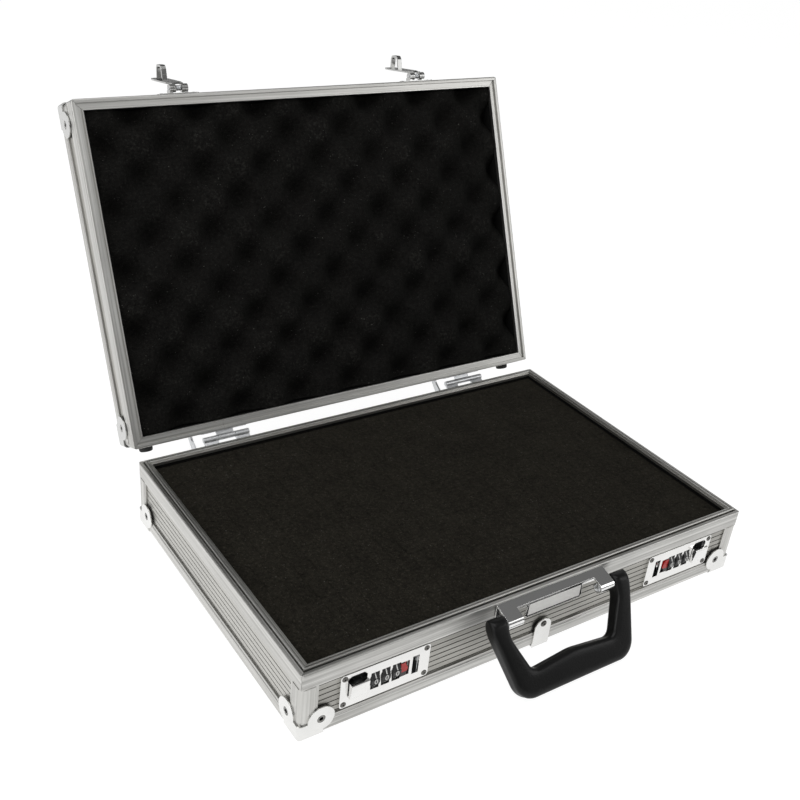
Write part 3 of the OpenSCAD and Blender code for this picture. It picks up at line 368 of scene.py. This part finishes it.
# Painted shade: the front and rear walls take a much darker low tone than the side walls, whose low
# tone and groove colour are one lighter grey.
wear(["base_front_panel", "base_rear_panel"],
     ribbed_sheet("walls_base_painted_shade", False, False, dark=(0.12, 0.116, 0.102)))
side_grey = (0.42, 0.415, 0.395)
wear(["base_side_panels"], ribbed_sheet("walls_side", False, False, side_grey, side_grey))
wear(["base_bottom_panel"], ribbed_sheet("floor_sheet", False, True))
wear(["lid_wall_panels"], ribbed_sheet("walls_lid", True, False))
wear(["lid_top_panel"], ribbed_sheet("top_sheet", True, True))

# Corner caps, clip and rivets: pressed steel with bright nickel plate, held by hollow rivets.
# The round ears lie on the walls; the sheet is bent round the bar corners.


def plated(name, on_lid, colour, rough, smear, radius=0.0003):
    """Bright plate with faint smears, fine scratches and a slight ripple of the sheet."""
    finish = Finish(name, on_lid)
    smears = finish.noise(0.02, 4)
    scratches = finish.noise(0.0004, 2, (30, 6, 6)).above(0.69)
    ripple = finish.noise(0.012, 1)
    dull = tuple(0.86 * c for c in colour)
    tone = finish.between((smears * 1.3 - 0.15).clamped(), dull, colour)
    roughness = rough + smears * smear + scratches * 0.12
    normal = finish.bump(ripple, 0.00005, finish.soft_edges(radius))
    return finish.surface(Base_Color=tone, Metallic=1.0, Roughness=roughness, Normal=normal)


wear(["base_corner_caps", "bottom_clip"],
     plated("caps_base", False, (0.83, 0.828, 0.81), 0.09, 0.1, 0.0005))
wear(["lid_corner_caps"], plated("caps_lid", True, (0.62, 0.62, 0.61), 0.12, 0.2, 0.0005))
# Painted shade: these rivets are given dark greys for the shade in their hollow bores.
wear(["base_cap_rivets", "hinge_base_rivets"],
     plated("rivets_base_painted_shade", False, (0.24, 0.237, 0.225), 0.2, 0.12))
wear(["lock_rivets", "front_rivets"],
     plated("rivets_lock_painted_shade", False, (0.16, 0.155, 0.145), 0.22, 0.15))
wear(["lid_cap_rivets", "hasp_rivets", "hinge_lid_rivets"],
     plated("rivets_lid", True, (0.42, 0.415, 0.40), 0.2, 0.12))

# Hinges: stamped zinc-plated leaves with rolled knuckles on a steel pin.
# A thin ear beside each base leaf carries the open lid.


def zinc(name, on_lid):
    """Zinc plate: a cool grey with fine mottling, duller than the nickel."""
    finish = Finish(name, on_lid)
    spangle = finish.cells(0.0022)
    cloud = finish.noise(0.006, 4)
    tone = (spangle * 0.4 + cloud * 0.6).clamped()
    colour = finish.between(tone, (0.52, 0.53, 0.54), (0.72, 0.73, 0.74))
    roughness = 0.26 + cloud * 0.2
    normal = finish.bump(cloud, 0.00002, finish.soft_edges(0.0002))
    return finish.surface(Base_Color=colour, Metallic=1.0, Roughness=roughness, Normal=normal)


zinc_base = zinc("zinc_base", False)
zinc_lid = zinc("zinc_lid", True)
wear(["hinge_base_leaves", "hinge_pins", "lock_body_left", "lock_body_right",
      "lock_spindles", "lock_spring_left", "lock_spring_right"], zinc_base)
wear(["hinge_lid_leaves", "hasp_pins", "hasp_spring_left", "hasp_spring_right"], zinc_lid)

# Lining strips: stiff card faced with black flock, four in each half, tucked behind
# the rim bars and held there by the foam.


def flock(name, on_lid):
    """Short black fibres, matted in patches."""
    finish = Finish(name, on_lid)
    fibres = finish.noise(0.00045, 4)
    patches = finish.noise(0.015, 3)
    tone = (fibres * 0.7 + patches * 0.3).clamped()
    colour = finish.between(tone, (0.0012, 0.0012, 0.0011), (0.009, 0.0088, 0.0082))
    normal = finish.bump(fibres, 0.00025)
    return finish.surface(Base_Color=colour, Roughness=0.97, Normal=normal, Specular_IOR_Level=0.1)


wear(["base_lining"], flock("flock_base", False))
wear(["lid_lining"], flock("flock_lid", True))

# Base foam: one block of black open-cell foam, cut from above into small cubes that
# can be pulled out. The cubes stand at slightly different heights along their cuts.


def surface_piece(name, points, faces, material, smooth=True):
    """A mesh object at the origin from points in metres and faces given by point numbers."""
    mesh = bpy.data.meshes.new(name)
    mesh.from_pydata(points.reshape(-1, 3).tolist(), [], faces)
    mesh.polygons.foreach_set("use_smooth", np.full(len(mesh.polygons), smooth))
    mesh.materials.append(material)
    mesh.update()
    made = bpy.data.objects.new(name, mesh)
    scene.collection.objects.link(made)
    return made


def grid_faces(rows, columns, first=0, close=False):
    """Quads between neighbouring points of a rows by columns grid; close joins the last
    column to the first."""
    i = np.arange(rows - 1)[:, None]
    j = np.arange(columns if close else columns - 1)[None, :]
    k = (j + 1) % columns
    quads = [i * columns + j, i * columns + k, (i + 1) * columns + k, (i + 1) * columns + j]
    return (np.stack([q + 0 * i + 0 * j for q in quads], -1).reshape(-1, 4) + first).tolist()


def rim_numbers(rows, columns):
    """Numbers of a grid's border points, once round with the first row first."""
    grid = np.arange(rows * columns).reshape(rows, columns)
    return np.concatenate([grid[0, :-1], grid[:-1, -1], grid[-1, :0:-1], grid[:0:-1, 0]])


def open_cell(name, on_lid, dark, light, peaks=None):
    """Open-cell foam: pin-sized pores, a soft grey bloom, scattered brighter struts and
    lint. Below the height peaks, on the shut lid, it has gathered a little grey dust."""
    finish = Finish(name, on_lid)
    pores = finish.cells(0.0009)
    fine = finish.noise(0.0004, 3)
    bloom = finish.noise(0.03, 3)
    struts = finish.noise(0.0013, 2).above(0.63)
    clumps = finish.noise(0.0028, 3)
    tone = (pores * 0.3 + fine * 0.25 + bloom * 0.3 + struts * 0.4 + clumps * 0.7 - 0.45).clamped()
    lint = finish.noise(0.0014, 1).above(0.765) * finish.noise(0.03, 2).above(0.5)
    colour = finish.between(lint, finish.between(tone, dark, light), (0.10, 0.098, 0.09))
    if peaks is not None:
        z = finish.axes("Z")[0]
        near_peak = ((peaks - z) * 420).clamped()
        specks = ((finish.noise(0.0025, 4) - 0.5) * 3.2).clamped()
        dust = near_peak * specks * finish.noise(0.05, 1).above(0.5)
        colour = finish.between(dust * 0.32, colour, (0.06, 0.059, 0.053))
    normal = finish.bump(pores * 0.7 + fine * 0.3, 0.00045)
    return finish.surface(Base_Color=colour, Roughness=0.97, Normal=normal,
                          Specular_IOR_Level=0.06)


FOAM_X, FOAM_Y = CASE_W / 2 - 0.0088, CASE_D / 2 - 0.0088
FOAM_TOP, FOAM_BOTTOM = BASE_H - 0.0051, 0.0058
LOCK_BOX_TOP, LOCK_BOX_BACK = 0.0468, 0.0094
CUBE, EDGE_DROP = 0.0148, 0.0009


def cut_lines(half):
    """Grid lines from one side of the block to the other, and the number of cubes between:
    a line on each cut, a near and a far shoulder on both sides of it, and each cube's middle."""
    count = round(2 * half / CUBE)
    cuts = np.linspace(-half, half, count + 1)
    near_shoulder, far_shoulder = 0.0004, 0.0014
    offsets = np.array([0.0, near_shoulder, far_shoulder, 0.5 * (cuts[1] - cuts[0])])
    inner = cuts[:-1, None] + np.concatenate([offsets, (cuts[1] - cuts[0]) - offsets[2:0:-1]])
    return np.append(inner.ravel(), half), count


def cube_top(x, y, steps):
    """Height of the cut foam: each cube keeps its own small step, rounds off toward its
    edges and drops into a narrow slit at every cut."""
    nx, ny = steps.shape
    u, v = (x + FOAM_X) / (2 * FOAM_X) * nx, (y + FOAM_Y) / (2 * FOAM_Y) * ny
    ix, iy = np.clip(u.astype(int), 0, nx - 1), np.clip(v.astype(int), 0, ny - 1)
    edge_x = (0.5 - abs(u - ix - 0.5)) * 2 * FOAM_X / nx
    edge_y = (0.5 - abs(v - iy - 0.5)) * 2 * FOAM_Y / ny
    edge = np.minimum(edge_x, edge_y)
    slit_half, slit_depth = 0.00018, 0.0008
    fall, fall_width = 0.0002, 0.001
    slit = np.exp(-(edge / slit_half) ** 2)
    crown = steps[ix, iy] - fall * np.exp(-edge / fall_width)
    return FOAM_TOP + crown * (1 - slit) - slit_depth * slit


lines_x, cubes_x = cut_lines(FOAM_X)
lines_y, cubes_y = cut_lines(FOAM_Y)
steps = np.random.default_rng(7).normal(-0.00012, 0.00005, (cubes_x, cubes_y)).clip(-0.0006, 0)
gx, gy = np.meshgrid(lines_x, lines_y, indexing="ij")
gz = cube_top(gx.ravel(), gy.ravel(), steps).reshape(gx.shape)
border = (abs(gx) > FOAM_X - 1e-6) | (abs(gy) > FOAM_Y - 1e-6)
gz[border] = FOAM_TOP - EDGE_DROP
top = np.stack([gx, gy, gz], -1).reshape(-1, 3)
edge_ring = rim_numbers(*gx.shape)
# The sides go straight down, but the front one steps back over the lock boxes.
skirts = []
for level, back in ((LOCK_BOX_TOP, 0.0), (LOCK_BOX_TOP, LOCK_BOX_BACK), (FOAM_BOTTOM, LOCK_BOX_BACK)):
    row = top[edge_ring].copy()
    row[:, 2] = level
    row[:, 1] = np.maximum(row[:, 1], back - FOAM_Y)
    skirts.append(row)
points = np.concatenate([top, *skirts])
count = len(edge_ring)
faces = grid_faces(*gx.shape)
walls = np.concatenate([edge_ring[None, :], len(top) + np.arange(3 * count).reshape(3, count)])
for upper, lower in zip(walls[:-1], walls[1:]):
    faces += np.stack([upper, lower, np.roll(lower, -1), np.roll(upper, -1)], -1)[:, ::-1].tolist()
faces.append(walls[-1][::-1].tolist())


def outward(obj):
    """Merges the doubled points of a closed piece and turns all its faces outward."""
    work = bmesh.new()
    work.from_mesh(obj.data)
    bmesh.ops.remove_doubles(work, verts=work.verts, dist=1e-7)
    bmesh.ops.recalc_face_normals(work, faces=work.faces)
    work.to_mesh(obj.data)
    work.free()


base_foam_look = open_cell("foam_base", False, (0.0035, 0.0033, 0.0027), (0.042, 0.038, 0.029))
base_foam = surface_piece("cut_foam_block", points, faces, base_foam_look)
outward(base_foam)
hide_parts("base_foam")
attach(base_foam, "base")

# Lid foam: convoluted black foam sheet, its peaks and hollows in staggered rows,
# glued to the lid top and tucked under the rim bars.

SHEET_X, SHEET_Y = CASE_W / 2 - 0.0094, CASE_D / 2 - 0.0094
SHEET_BACK, SHEET_MID, WAVE = BASE_H + LID_H - 0.0059, BASE_H + 0.0112, 0.0079
PITCH_X, PITCH_Y = 0.0565, 0.0514
HOLLOW_X, HOLLOW_Y = 0.036, -0.104
DUST_Z = SHEET_MID - WAVE + 0.0032


def egg_crate(x, y):
    """Height of the sheet's open side with the lid shut, where the peaks point down: a
    cosine across times a cosine along, raised to a power so that the peaks are broad and
    the hollows narrow. One hollow's middle is at HOLLOW_X, HOLLOW_Y."""
    wave = np.cos(2 * np.pi * (x - HOLLOW_X) / PITCH_X) * np.cos(2 * np.pi * (y - HOLLOW_Y) / PITCH_Y)
    return SHEET_MID - WAVE + 2 * WAVE * (0.5 + 0.5 * wave) ** 1.9


def opened(points):
    """Points on the shut lid, turned about the hinge axis to the open lid."""
    y, z = points[..., 1] - HINGE_Y, points[..., 2] - HINGE_Z
    c, s = math.cos(OPEN), math.sin(OPEN)
    return np.stack([points[..., 0], HINGE_Y + y * c + z * s, HINGE_Z - y * s + z * c], -1)


sx, sy = np.meshgrid(np.linspace(-SHEET_X, SHEET_X, 241), np.linspace(-SHEET_Y, SHEET_Y, 161),
                     indexing="ij")
sheet_top = np.stack([sx, sy, egg_crate(sx, sy)], -1).reshape(-1, 3)
sheet_ring = rim_numbers(*sx.shape)
sheet_back = sheet_top[sheet_ring].copy()
sheet_back[:, 2] = SHEET_BACK
edge_numbers = len(sheet_top) + np.arange(len(sheet_ring))
sheet_faces = grid_faces(*sx.shape)
sheet_faces += np.stack([sheet_ring, edge_numbers, np.roll(edge_numbers, -1),
                         np.roll(sheet_ring, -1)], -1).tolist()
sheet_faces.append(edge_numbers.tolist())
sheet_points = opened(np.concatenate([sheet_top, sheet_back]))
lid_foam_look = open_cell("foam_lid", True, (0.0012, 0.0012, 0.0011), (0.019, 0.0185, 0.0168), DUST_Z)
lid_foam = surface_piece("wave_foam_sheet", sheet_points, sheet_faces, lid_foam_look)
outward(lid_foam)
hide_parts("lid_foam")
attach(lid_foam, "lid")

# Rear feet: moulded rubber bumpers on which the case stands upright, screwed on from
# outside; the screw's head is sunk in a recess.

FOOT_R, FOOT_LENGTH = 0.0062, 0.0062
FOOT_Y, CAP_T, EAR_IN, EAR_UP = CASE_D / 2, 0.001, 0.0168, 0.0145
BASE_FOOT_X, BASE_FOOT_Z = 0.199, 0.032
LID_FOOT_X, LID_FOOT_Z = CASE_W / 2 - EAR_IN, BASE_H + LID_H - CAP_T - EAR_UP


def rubber(name, on_lid):
    """Matt black rubber with a fine moulded grain and a grey bloom."""
    finish = Finish(name, on_lid)
    grain = finish.noise(0.0005, 3)
    bloom = finish.noise(0.008, 3)
    colour = finish.between(bloom, (0.012, 0.012, 0.012), (0.04, 0.04, 0.04))
    normal = finish.bump(grain, 0.00008, finish.soft_edges(0.0004))
    return finish.surface(Base_Color=colour, Roughness=0.75, Normal=normal)


def foot_surface(radius, length, turns=40):
    """A turned shape about the foot's axis, as radius over height: a flared base, a gently
    tapering side, a rounded edge and a flat face with a screw recess."""
    taper, rounding = 0.0004, 0.0014
    mouth, recess_r, recess_deep = 0.0025, 0.0023, 0.0018
    bend = np.linspace(0, np.pi / 2, 6)
    radii = np.concatenate([[0.0, radius], radius - taper - rounding * (1 - np.cos(bend)),
                            [mouth, recess_r, 0.0]])
    heights = np.concatenate([[0.0, 0.0], length - rounding + rounding * np.sin(bend),
                              [length, length - recess_deep, length - recess_deep]])
    angle = np.linspace(0, 2 * np.pi, turns, endpoint=False)
    x = radii[:, None] * np.cos(angle)
    z = radii[:, None] * np.sin(angle)
    return np.stack([x, heights[:, None] + 0 * x, z], -1)


def twin_faces(rows, columns):
    """Faces of two closed surfaces, of which the second's points follow the first's."""
    first = grid_faces(rows, columns, close=True)
    return first + grid_faces(rows, columns, rows * columns, close=True)


def feet(name, across, level, back, material, lid):
    """Two feet on the outside of a rear wall, at their places on the shut case."""
    shape = foot_surface(FOOT_R, FOOT_LENGTH)
    pair = np.stack([shape + np.array((way * across, back, level)) for way in (-1, 1)])
    if lid:
        pair = opened(pair)
    made = surface_piece(name, pair, twin_faces(*shape.shape[:2]), material)
    outward(made)
    return made


base_rubber = rubber("rubber_base", False)
base_feet = feet("squat_feet_base", BASE_FOOT_X, BASE_FOOT_Z, FOOT_Y, base_rubber, False)
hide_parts("base_rear_feet")
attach(base_feet, "base")
lid_rubber = rubber("rubber_lid", True)
lid_feet = feet("squat_feet_lid", LID_FOOT_X, LID_FOOT_Z, FOOT_Y + CAP_T, lid_rubber, True)
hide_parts("lid_rear_feet")
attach(lid_feet, "lid")

# Handle: one black moulded grip with a leather grain and a mould line round its edge.
# Both arms turn on pins in the bracket.

PIVOT = np.array([0, -CASE_D / 2 - 0.0125, 0.0506])
DROOP = math.radians(57)
GRIP_OUT = 0.0582


def bent_line(corners, radii, count):
    """Points at equal steps along a line with rounded corners: straight runs, and at each
    corner an arc of its radius."""
    pieces = [np.array([corners[0]])]
    for before, here, after, radius in zip(corners[:-2], corners[1:-1], corners[2:], radii):
        a, b = np.subtract(before, here), np.subtract(after, here)
        a, b = a / np.linalg.norm(a), b / np.linalg.norm(b)
        half = math.acos(np.clip(a @ b, -1, 1)) / 2
        centre = here + (a + b) / np.linalg.norm(a + b) * radius / math.sin(half)
        turn = np.linspace(-1, 1, 25)[:, None] * (math.pi / 2 - half)
        middle = -(a + b) / np.linalg.norm(a + b)
        across = np.array([-middle[1], middle[0]])
        way = np.sign(across @ (b - a))
        pieces.append(centre + radius * (np.cos(turn) * middle + np.sin(turn) * across * way))
    pieces.append(np.array([corners[-1]]))
    path = np.concatenate(pieces)
    along = np.append(0, np.cumsum(np.linalg.norm(np.diff(path, axis=0), axis=1)))
    at = np.linspace(0, along[-1], count)
    return np.stack([np.interp(at, along, path[:, k]) for k in range(2)], -1)


def handle_surface(turns=56, stations=181):
    """The grip as a surface over station and turn: between an inner and an outer edge line
    each section is a squared oval with a faint line at its edges. Its thickness falls as a
    quarter circle to each end, and is a little less in the middle than in the arms."""
    left_out = [(-0.0668, -0.0068), (-0.0672, 0.004), (-0.0545, GRIP_OUT)]
    left_in = [(-0.0526, -0.0068), (-0.0526, 0.010), (-0.0395, 0.0382)]
    outer = left_out + [(-x, y) for x, y in left_out[::-1]]
    inner = left_in + [(0, 0.0345)] + [(-x, y) for x, y in left_in[::-1]]
    o = bent_line(outer, [0.03, 0.016, 0.016, 0.03], stations)
    i = bent_line(inner, [0.02, 0.008, 0.05, 0.008, 0.02], stations)
    middle, half = (o + i) / 2, (o - i) / 2
    end_length, half_thick = 0.0069, 0.0064
    end = np.clip(-middle[:, 1] / end_length, 0, 1)
    thick = half_thick * np.sqrt(1 - end ** 2) + 1e-5
    thick = thick * (1 - 0.05 * np.cos(np.linspace(-np.pi, np.pi, stations)))
    angle = np.linspace(0, 2 * np.pi, turns, endpoint=False)
    cosine, sine = np.cos(angle), np.sin(angle)
    line = 1 - 0.03 * np.exp(-(sine / 0.05) ** 2)
    wide = np.sign(cosine) * abs(cosine) ** 0.5 * line
    high = np.sign(sine) * abs(sine) ** 0.5
    x = middle[:, :1] + half[:, :1] * wide
    p = middle[:, 1:] + half[:, 1:] * wide
    t = thick[:, None] * high
    c, s = math.cos(DROOP), math.sin(DROOP)
    y = PIVOT[1] - p * c + t * s
    z = PIVOT[2] - p * s - t * c
    return np.stack([x, y, z], -1)


def moulded_grip():
    """Black plastic with a pebbled leather grain, shinier where hands have rubbed it."""
    finish = Finish("moulded_grip")
    pebbles = finish.cells(0.0011, "SMOOTH_F1")
    creases = finish.noise(0.0012, 4)
    rubbed = finish.noise(0.03, 2)
    tone = (creases * 0.6 + rubbed * 0.4).clamped()
    colour = finish.between(tone, (0.001, 0.001, 0.001), (0.006, 0.006, 0.006))
    normal = finish.bump(pebbles * 0.6 + creases * 0.4, 0.00012)
    roughness = 0.34 - rubbed * 0.14 + creases * 0.12
    return finish.surface(Base_Color=colour, Roughness=roughness, Normal=normal,
                          Specular_IOR_Level=0.24)


shell = handle_surface()
stations, turns = shell.shape[:2]
handle_faces = grid_faces(stations, turns, close=True)
handle_faces += [list(range(turns)), list(range((stations - 1) * turns, stations * turns))[::-1]]
grip = surface_piece("moulded_handle", shell, handle_faces, moulded_grip())
outward(grip)
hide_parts("handle")
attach(grip, "handle")

# Handle bracket: pressed steel, bright outside, its ends curled round the pins; the flap
# bent down in the middle has a dull grained face.

FLAP_HALF, FLAP_LOW, FLAP_HIGH = 0.0255, 0.0442, 0.0545
FLAP_Y, FLAP_SKIN = -CASE_D / 2 - 0.007, 0.0004


def bracket_plate():
    """Nickel plate that turns dull and grained on the front face of the flap."""
    finish = Finish("bracket_plate")
    x, y, z = finish.axes("XYZ")
    face = abs(x).below(FLAP_HALF) * z.below(FLAP_HIGH) * z.above(FLAP_LOW)
    flap = face * y.below(FLAP_Y + FLAP_SKIN) * y.above(FLAP_Y - FLAP_SKIN)
    smears = finish.noise(0.02, 4)
    grain = finish.noise(0.0005, 3)
    frosted = finish.between(grain, (0.60, 0.595, 0.575), (0.98, 0.97, 0.95))
    colour = finish.between(flap, (0.88, 0.88, 0.87), frosted)
    roughness = 0.05 + smears * 0.09 + flap * (0.34 + grain * 0.2)
    normal = finish.bump(grain * flap * 0.00012 + smears * 0.00003, 1.0, finish.soft_edges(0.0005))
    return finish.surface(Base_Color=colour, Metallic=1.0, Roughness=roughness, Normal=normal)


wear(["handle_bracket"], bracket_plate())

# Handle pins: two turned steel stubs, fixed in the bracket's end curls; the arms of the
# grip turn on them.

PIN_IN, PIN_OUT, PIN_R, CHAMFER = 0.0384, 0.0638, 0.00338, 0.0005


def pin_surface(start, end, radius, turns=36):
    """A turned shape along x, as radius over length, with both ends broken by a chamfer."""
    radii = np.array([0, radius - CHAMFER, radius, radius, radius - CHAMFER, 0])
    along = np.array([start, start, start + CHAMFER, end - CHAMFER, end, end])
    angle = np.linspace(0, 2 * np.pi, turns, endpoint=False)
    y = radii[:, None] * np.cos(angle)
    z = radii[:, None] * np.sin(angle)
    return np.stack([along[:, None] + 0 * y, y, z], -1) + PIVOT


stubs = np.stack([pin_surface(PIN_IN, PIN_OUT, PIN_R), pin_surface(-PIN_OUT, -PIN_IN, PIN_R)])
pins = surface_piece("handle_stub_pins", stubs, twin_faces(*stubs.shape[1:3]), zinc_base)
outward(pins)
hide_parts("handle_rod")
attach(pins, "base")

# Hasps: stamped nickel-plated plates riveted to the lid, with a hinged arm whose loop
# drops into the lock slot.

wear(["hasp_plates", "hasp_left", "hasp_right"],
     plated("hasp_plate", True, (0.50, 0.50, 0.49), 0.1, 0.14))

# Locks: bright pressed plates with a thumb slider, three black number wheels and a red
# code lever each. A plate and the box behind it are riveted to the front wall.

wear(["lock_plate_left", "lock_plate_right", "lock_slider_left", "lock_slider_right"],
     plated("lock_plate", False, (0.87, 0.865, 0.85), 0.07, 0.09))
LOCK_Z, RED_HALF = 0.0332, 0.0042


def lever_red():
    """Glossy red moulding, a little uneven in tone, with painted shade beyond a band about the lock's
    middle, where it is near black.
    """
    finish = Finish("lever_red")
    cloud = finish.noise(0.004, 3)
    z = finish.axes("Z")[0]
    unshaded_band = (abs(z - LOCK_Z) - RED_HALF).below(0.0)
    red = finish.between(cloud, (0.40, 0.008, 0.008), (0.62, 0.022, 0.02))
    # Painted shade: beyond the band the lever is near black, for the shade in the slot behind the
    # plate.
    colour = finish.between(unshaded_band, (0.02, 0.012, 0.012), red)
    normal = finish.bump(cloud, 0.00003, finish.soft_edges(0.0003))
    return finish.surface(Base_Color=colour, Roughness=0.28 + cloud * 0.1, Normal=normal)


def wheel_black():
    """Black moulding with a fine satin grain."""
    finish = Finish("wheel_black")
    grain = finish.noise(0.0004, 3)
    colour = finish.between(grain, (0.008, 0.008, 0.008), (0.03, 0.03, 0.03))
    normal = finish.bump(grain, 0.00003, finish.soft_edges(0.0003))
    return finish.surface(Base_Color=colour, Roughness=0.34 + grain * 0.15, Normal=normal)


WHEELS = [(side, k) for side in ("left", "right") for k in (1, 2, 3)]
wear(["code_lever_left", "code_lever_right"], lever_red())
wear([f"number_wheel_{side}_{k}" for side, k in WHEELS], wheel_black())

# Return coils: closed coils of spring steel wire in the lock boxes. A pushed slider

for side, way in (("left", -1), ("right", 1)):
    coil_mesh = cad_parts[f"lock_spring_{side}"].data.copy()
    coil = bpy.data.objects.new(f"return_coil_{side}", coil_mesh)
    scene.collection.objects.link(coil)
    outward(coil)
    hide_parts(f"lock_spring_{side}")
    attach(coil, "base")
    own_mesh(coil)

# Numerals: white paint in shallow figures, one on each of a wheel's ten flats.
# All six wheels show their nought.

WHEEL_R, PAINT_RISE = 0.0084, 0.00004
FLAT_TURN = math.radians(36)
WHEEL_FLAT = WHEEL_R * math.cos(FLAT_TURN / 2) + PAINT_RISE


def paint_white():
    """Filled white numerals with slightly thin spots."""
    finish = Finish("numeral_white")
    thin = finish.noise(0.0008, 3)
    colour = finish.between(thin, (0.62, 0.62, 0.60), (0.85, 0.85, 0.83))
    return finish.surface(Base_Color=colour, Roughness=0.5 + thin * 0.1)


def numeral_points(digit):
    """Flat outline mesh of a numeral about 3.7 mm tall, centred, as points and faces."""
    curve = bpy.data.curves.new("numeral", "FONT")
    curve.body = str(digit)
    curve.size = 0.006
    curve.align_x, curve.align_y = "CENTER", "CENTER"
    curve.resolution_u = 3
    curve.offset = 0.00014
    text = bpy.data.objects.new("numeral", curve)
    scene.collection.objects.link(text)
    bpy.context.view_layer.update()
    flat = text.evaluated_get(bpy.context.evaluated_depsgraph_get()).to_mesh()
    found = np.empty(3 * len(flat.vertices), np.float32)
    flat.vertices.foreach_get("co", found)
    found = found.reshape(-1, 3).astype(float)
    shapes = [np.array(polygon.vertices) for polygon in flat.polygons]
    text.to_mesh_clear()
    bpy.data.objects.remove(text)
    bpy.data.curves.remove(curve)
    found -= (found.max(0) + found.min(0)) / 2
    return found, shapes


numerals = [numeral_points(digit) for digit in range(10)]
white = paint_white()
for side, k in WHEELS:
    low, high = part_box(f"number_wheel_{side}_{k}")
    middle = (np.array(low) + np.array(high)) / 2
    parts, shapes = [], []
    for digit, (flat, polygons) in enumerate(numerals):
        turn = FLAT_TURN * digit
        radial = np.array([0, -math.cos(turn), math.sin(turn)])
        up = np.array([0, math.sin(turn), math.cos(turn)])
        start = sum(len(part) for part in parts)
        parts.append(middle + flat[:, :1] * [1, 0, 0] + flat[:, 1:2] * up + WHEEL_FLAT * radial)
        shapes += [(polygon + start).tolist() for polygon in polygons]
    ring = surface_piece(f"numerals_{side}_{k}", np.concatenate(parts), shapes, white, False)
    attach(ring, f"wheel_{side}_{k}")
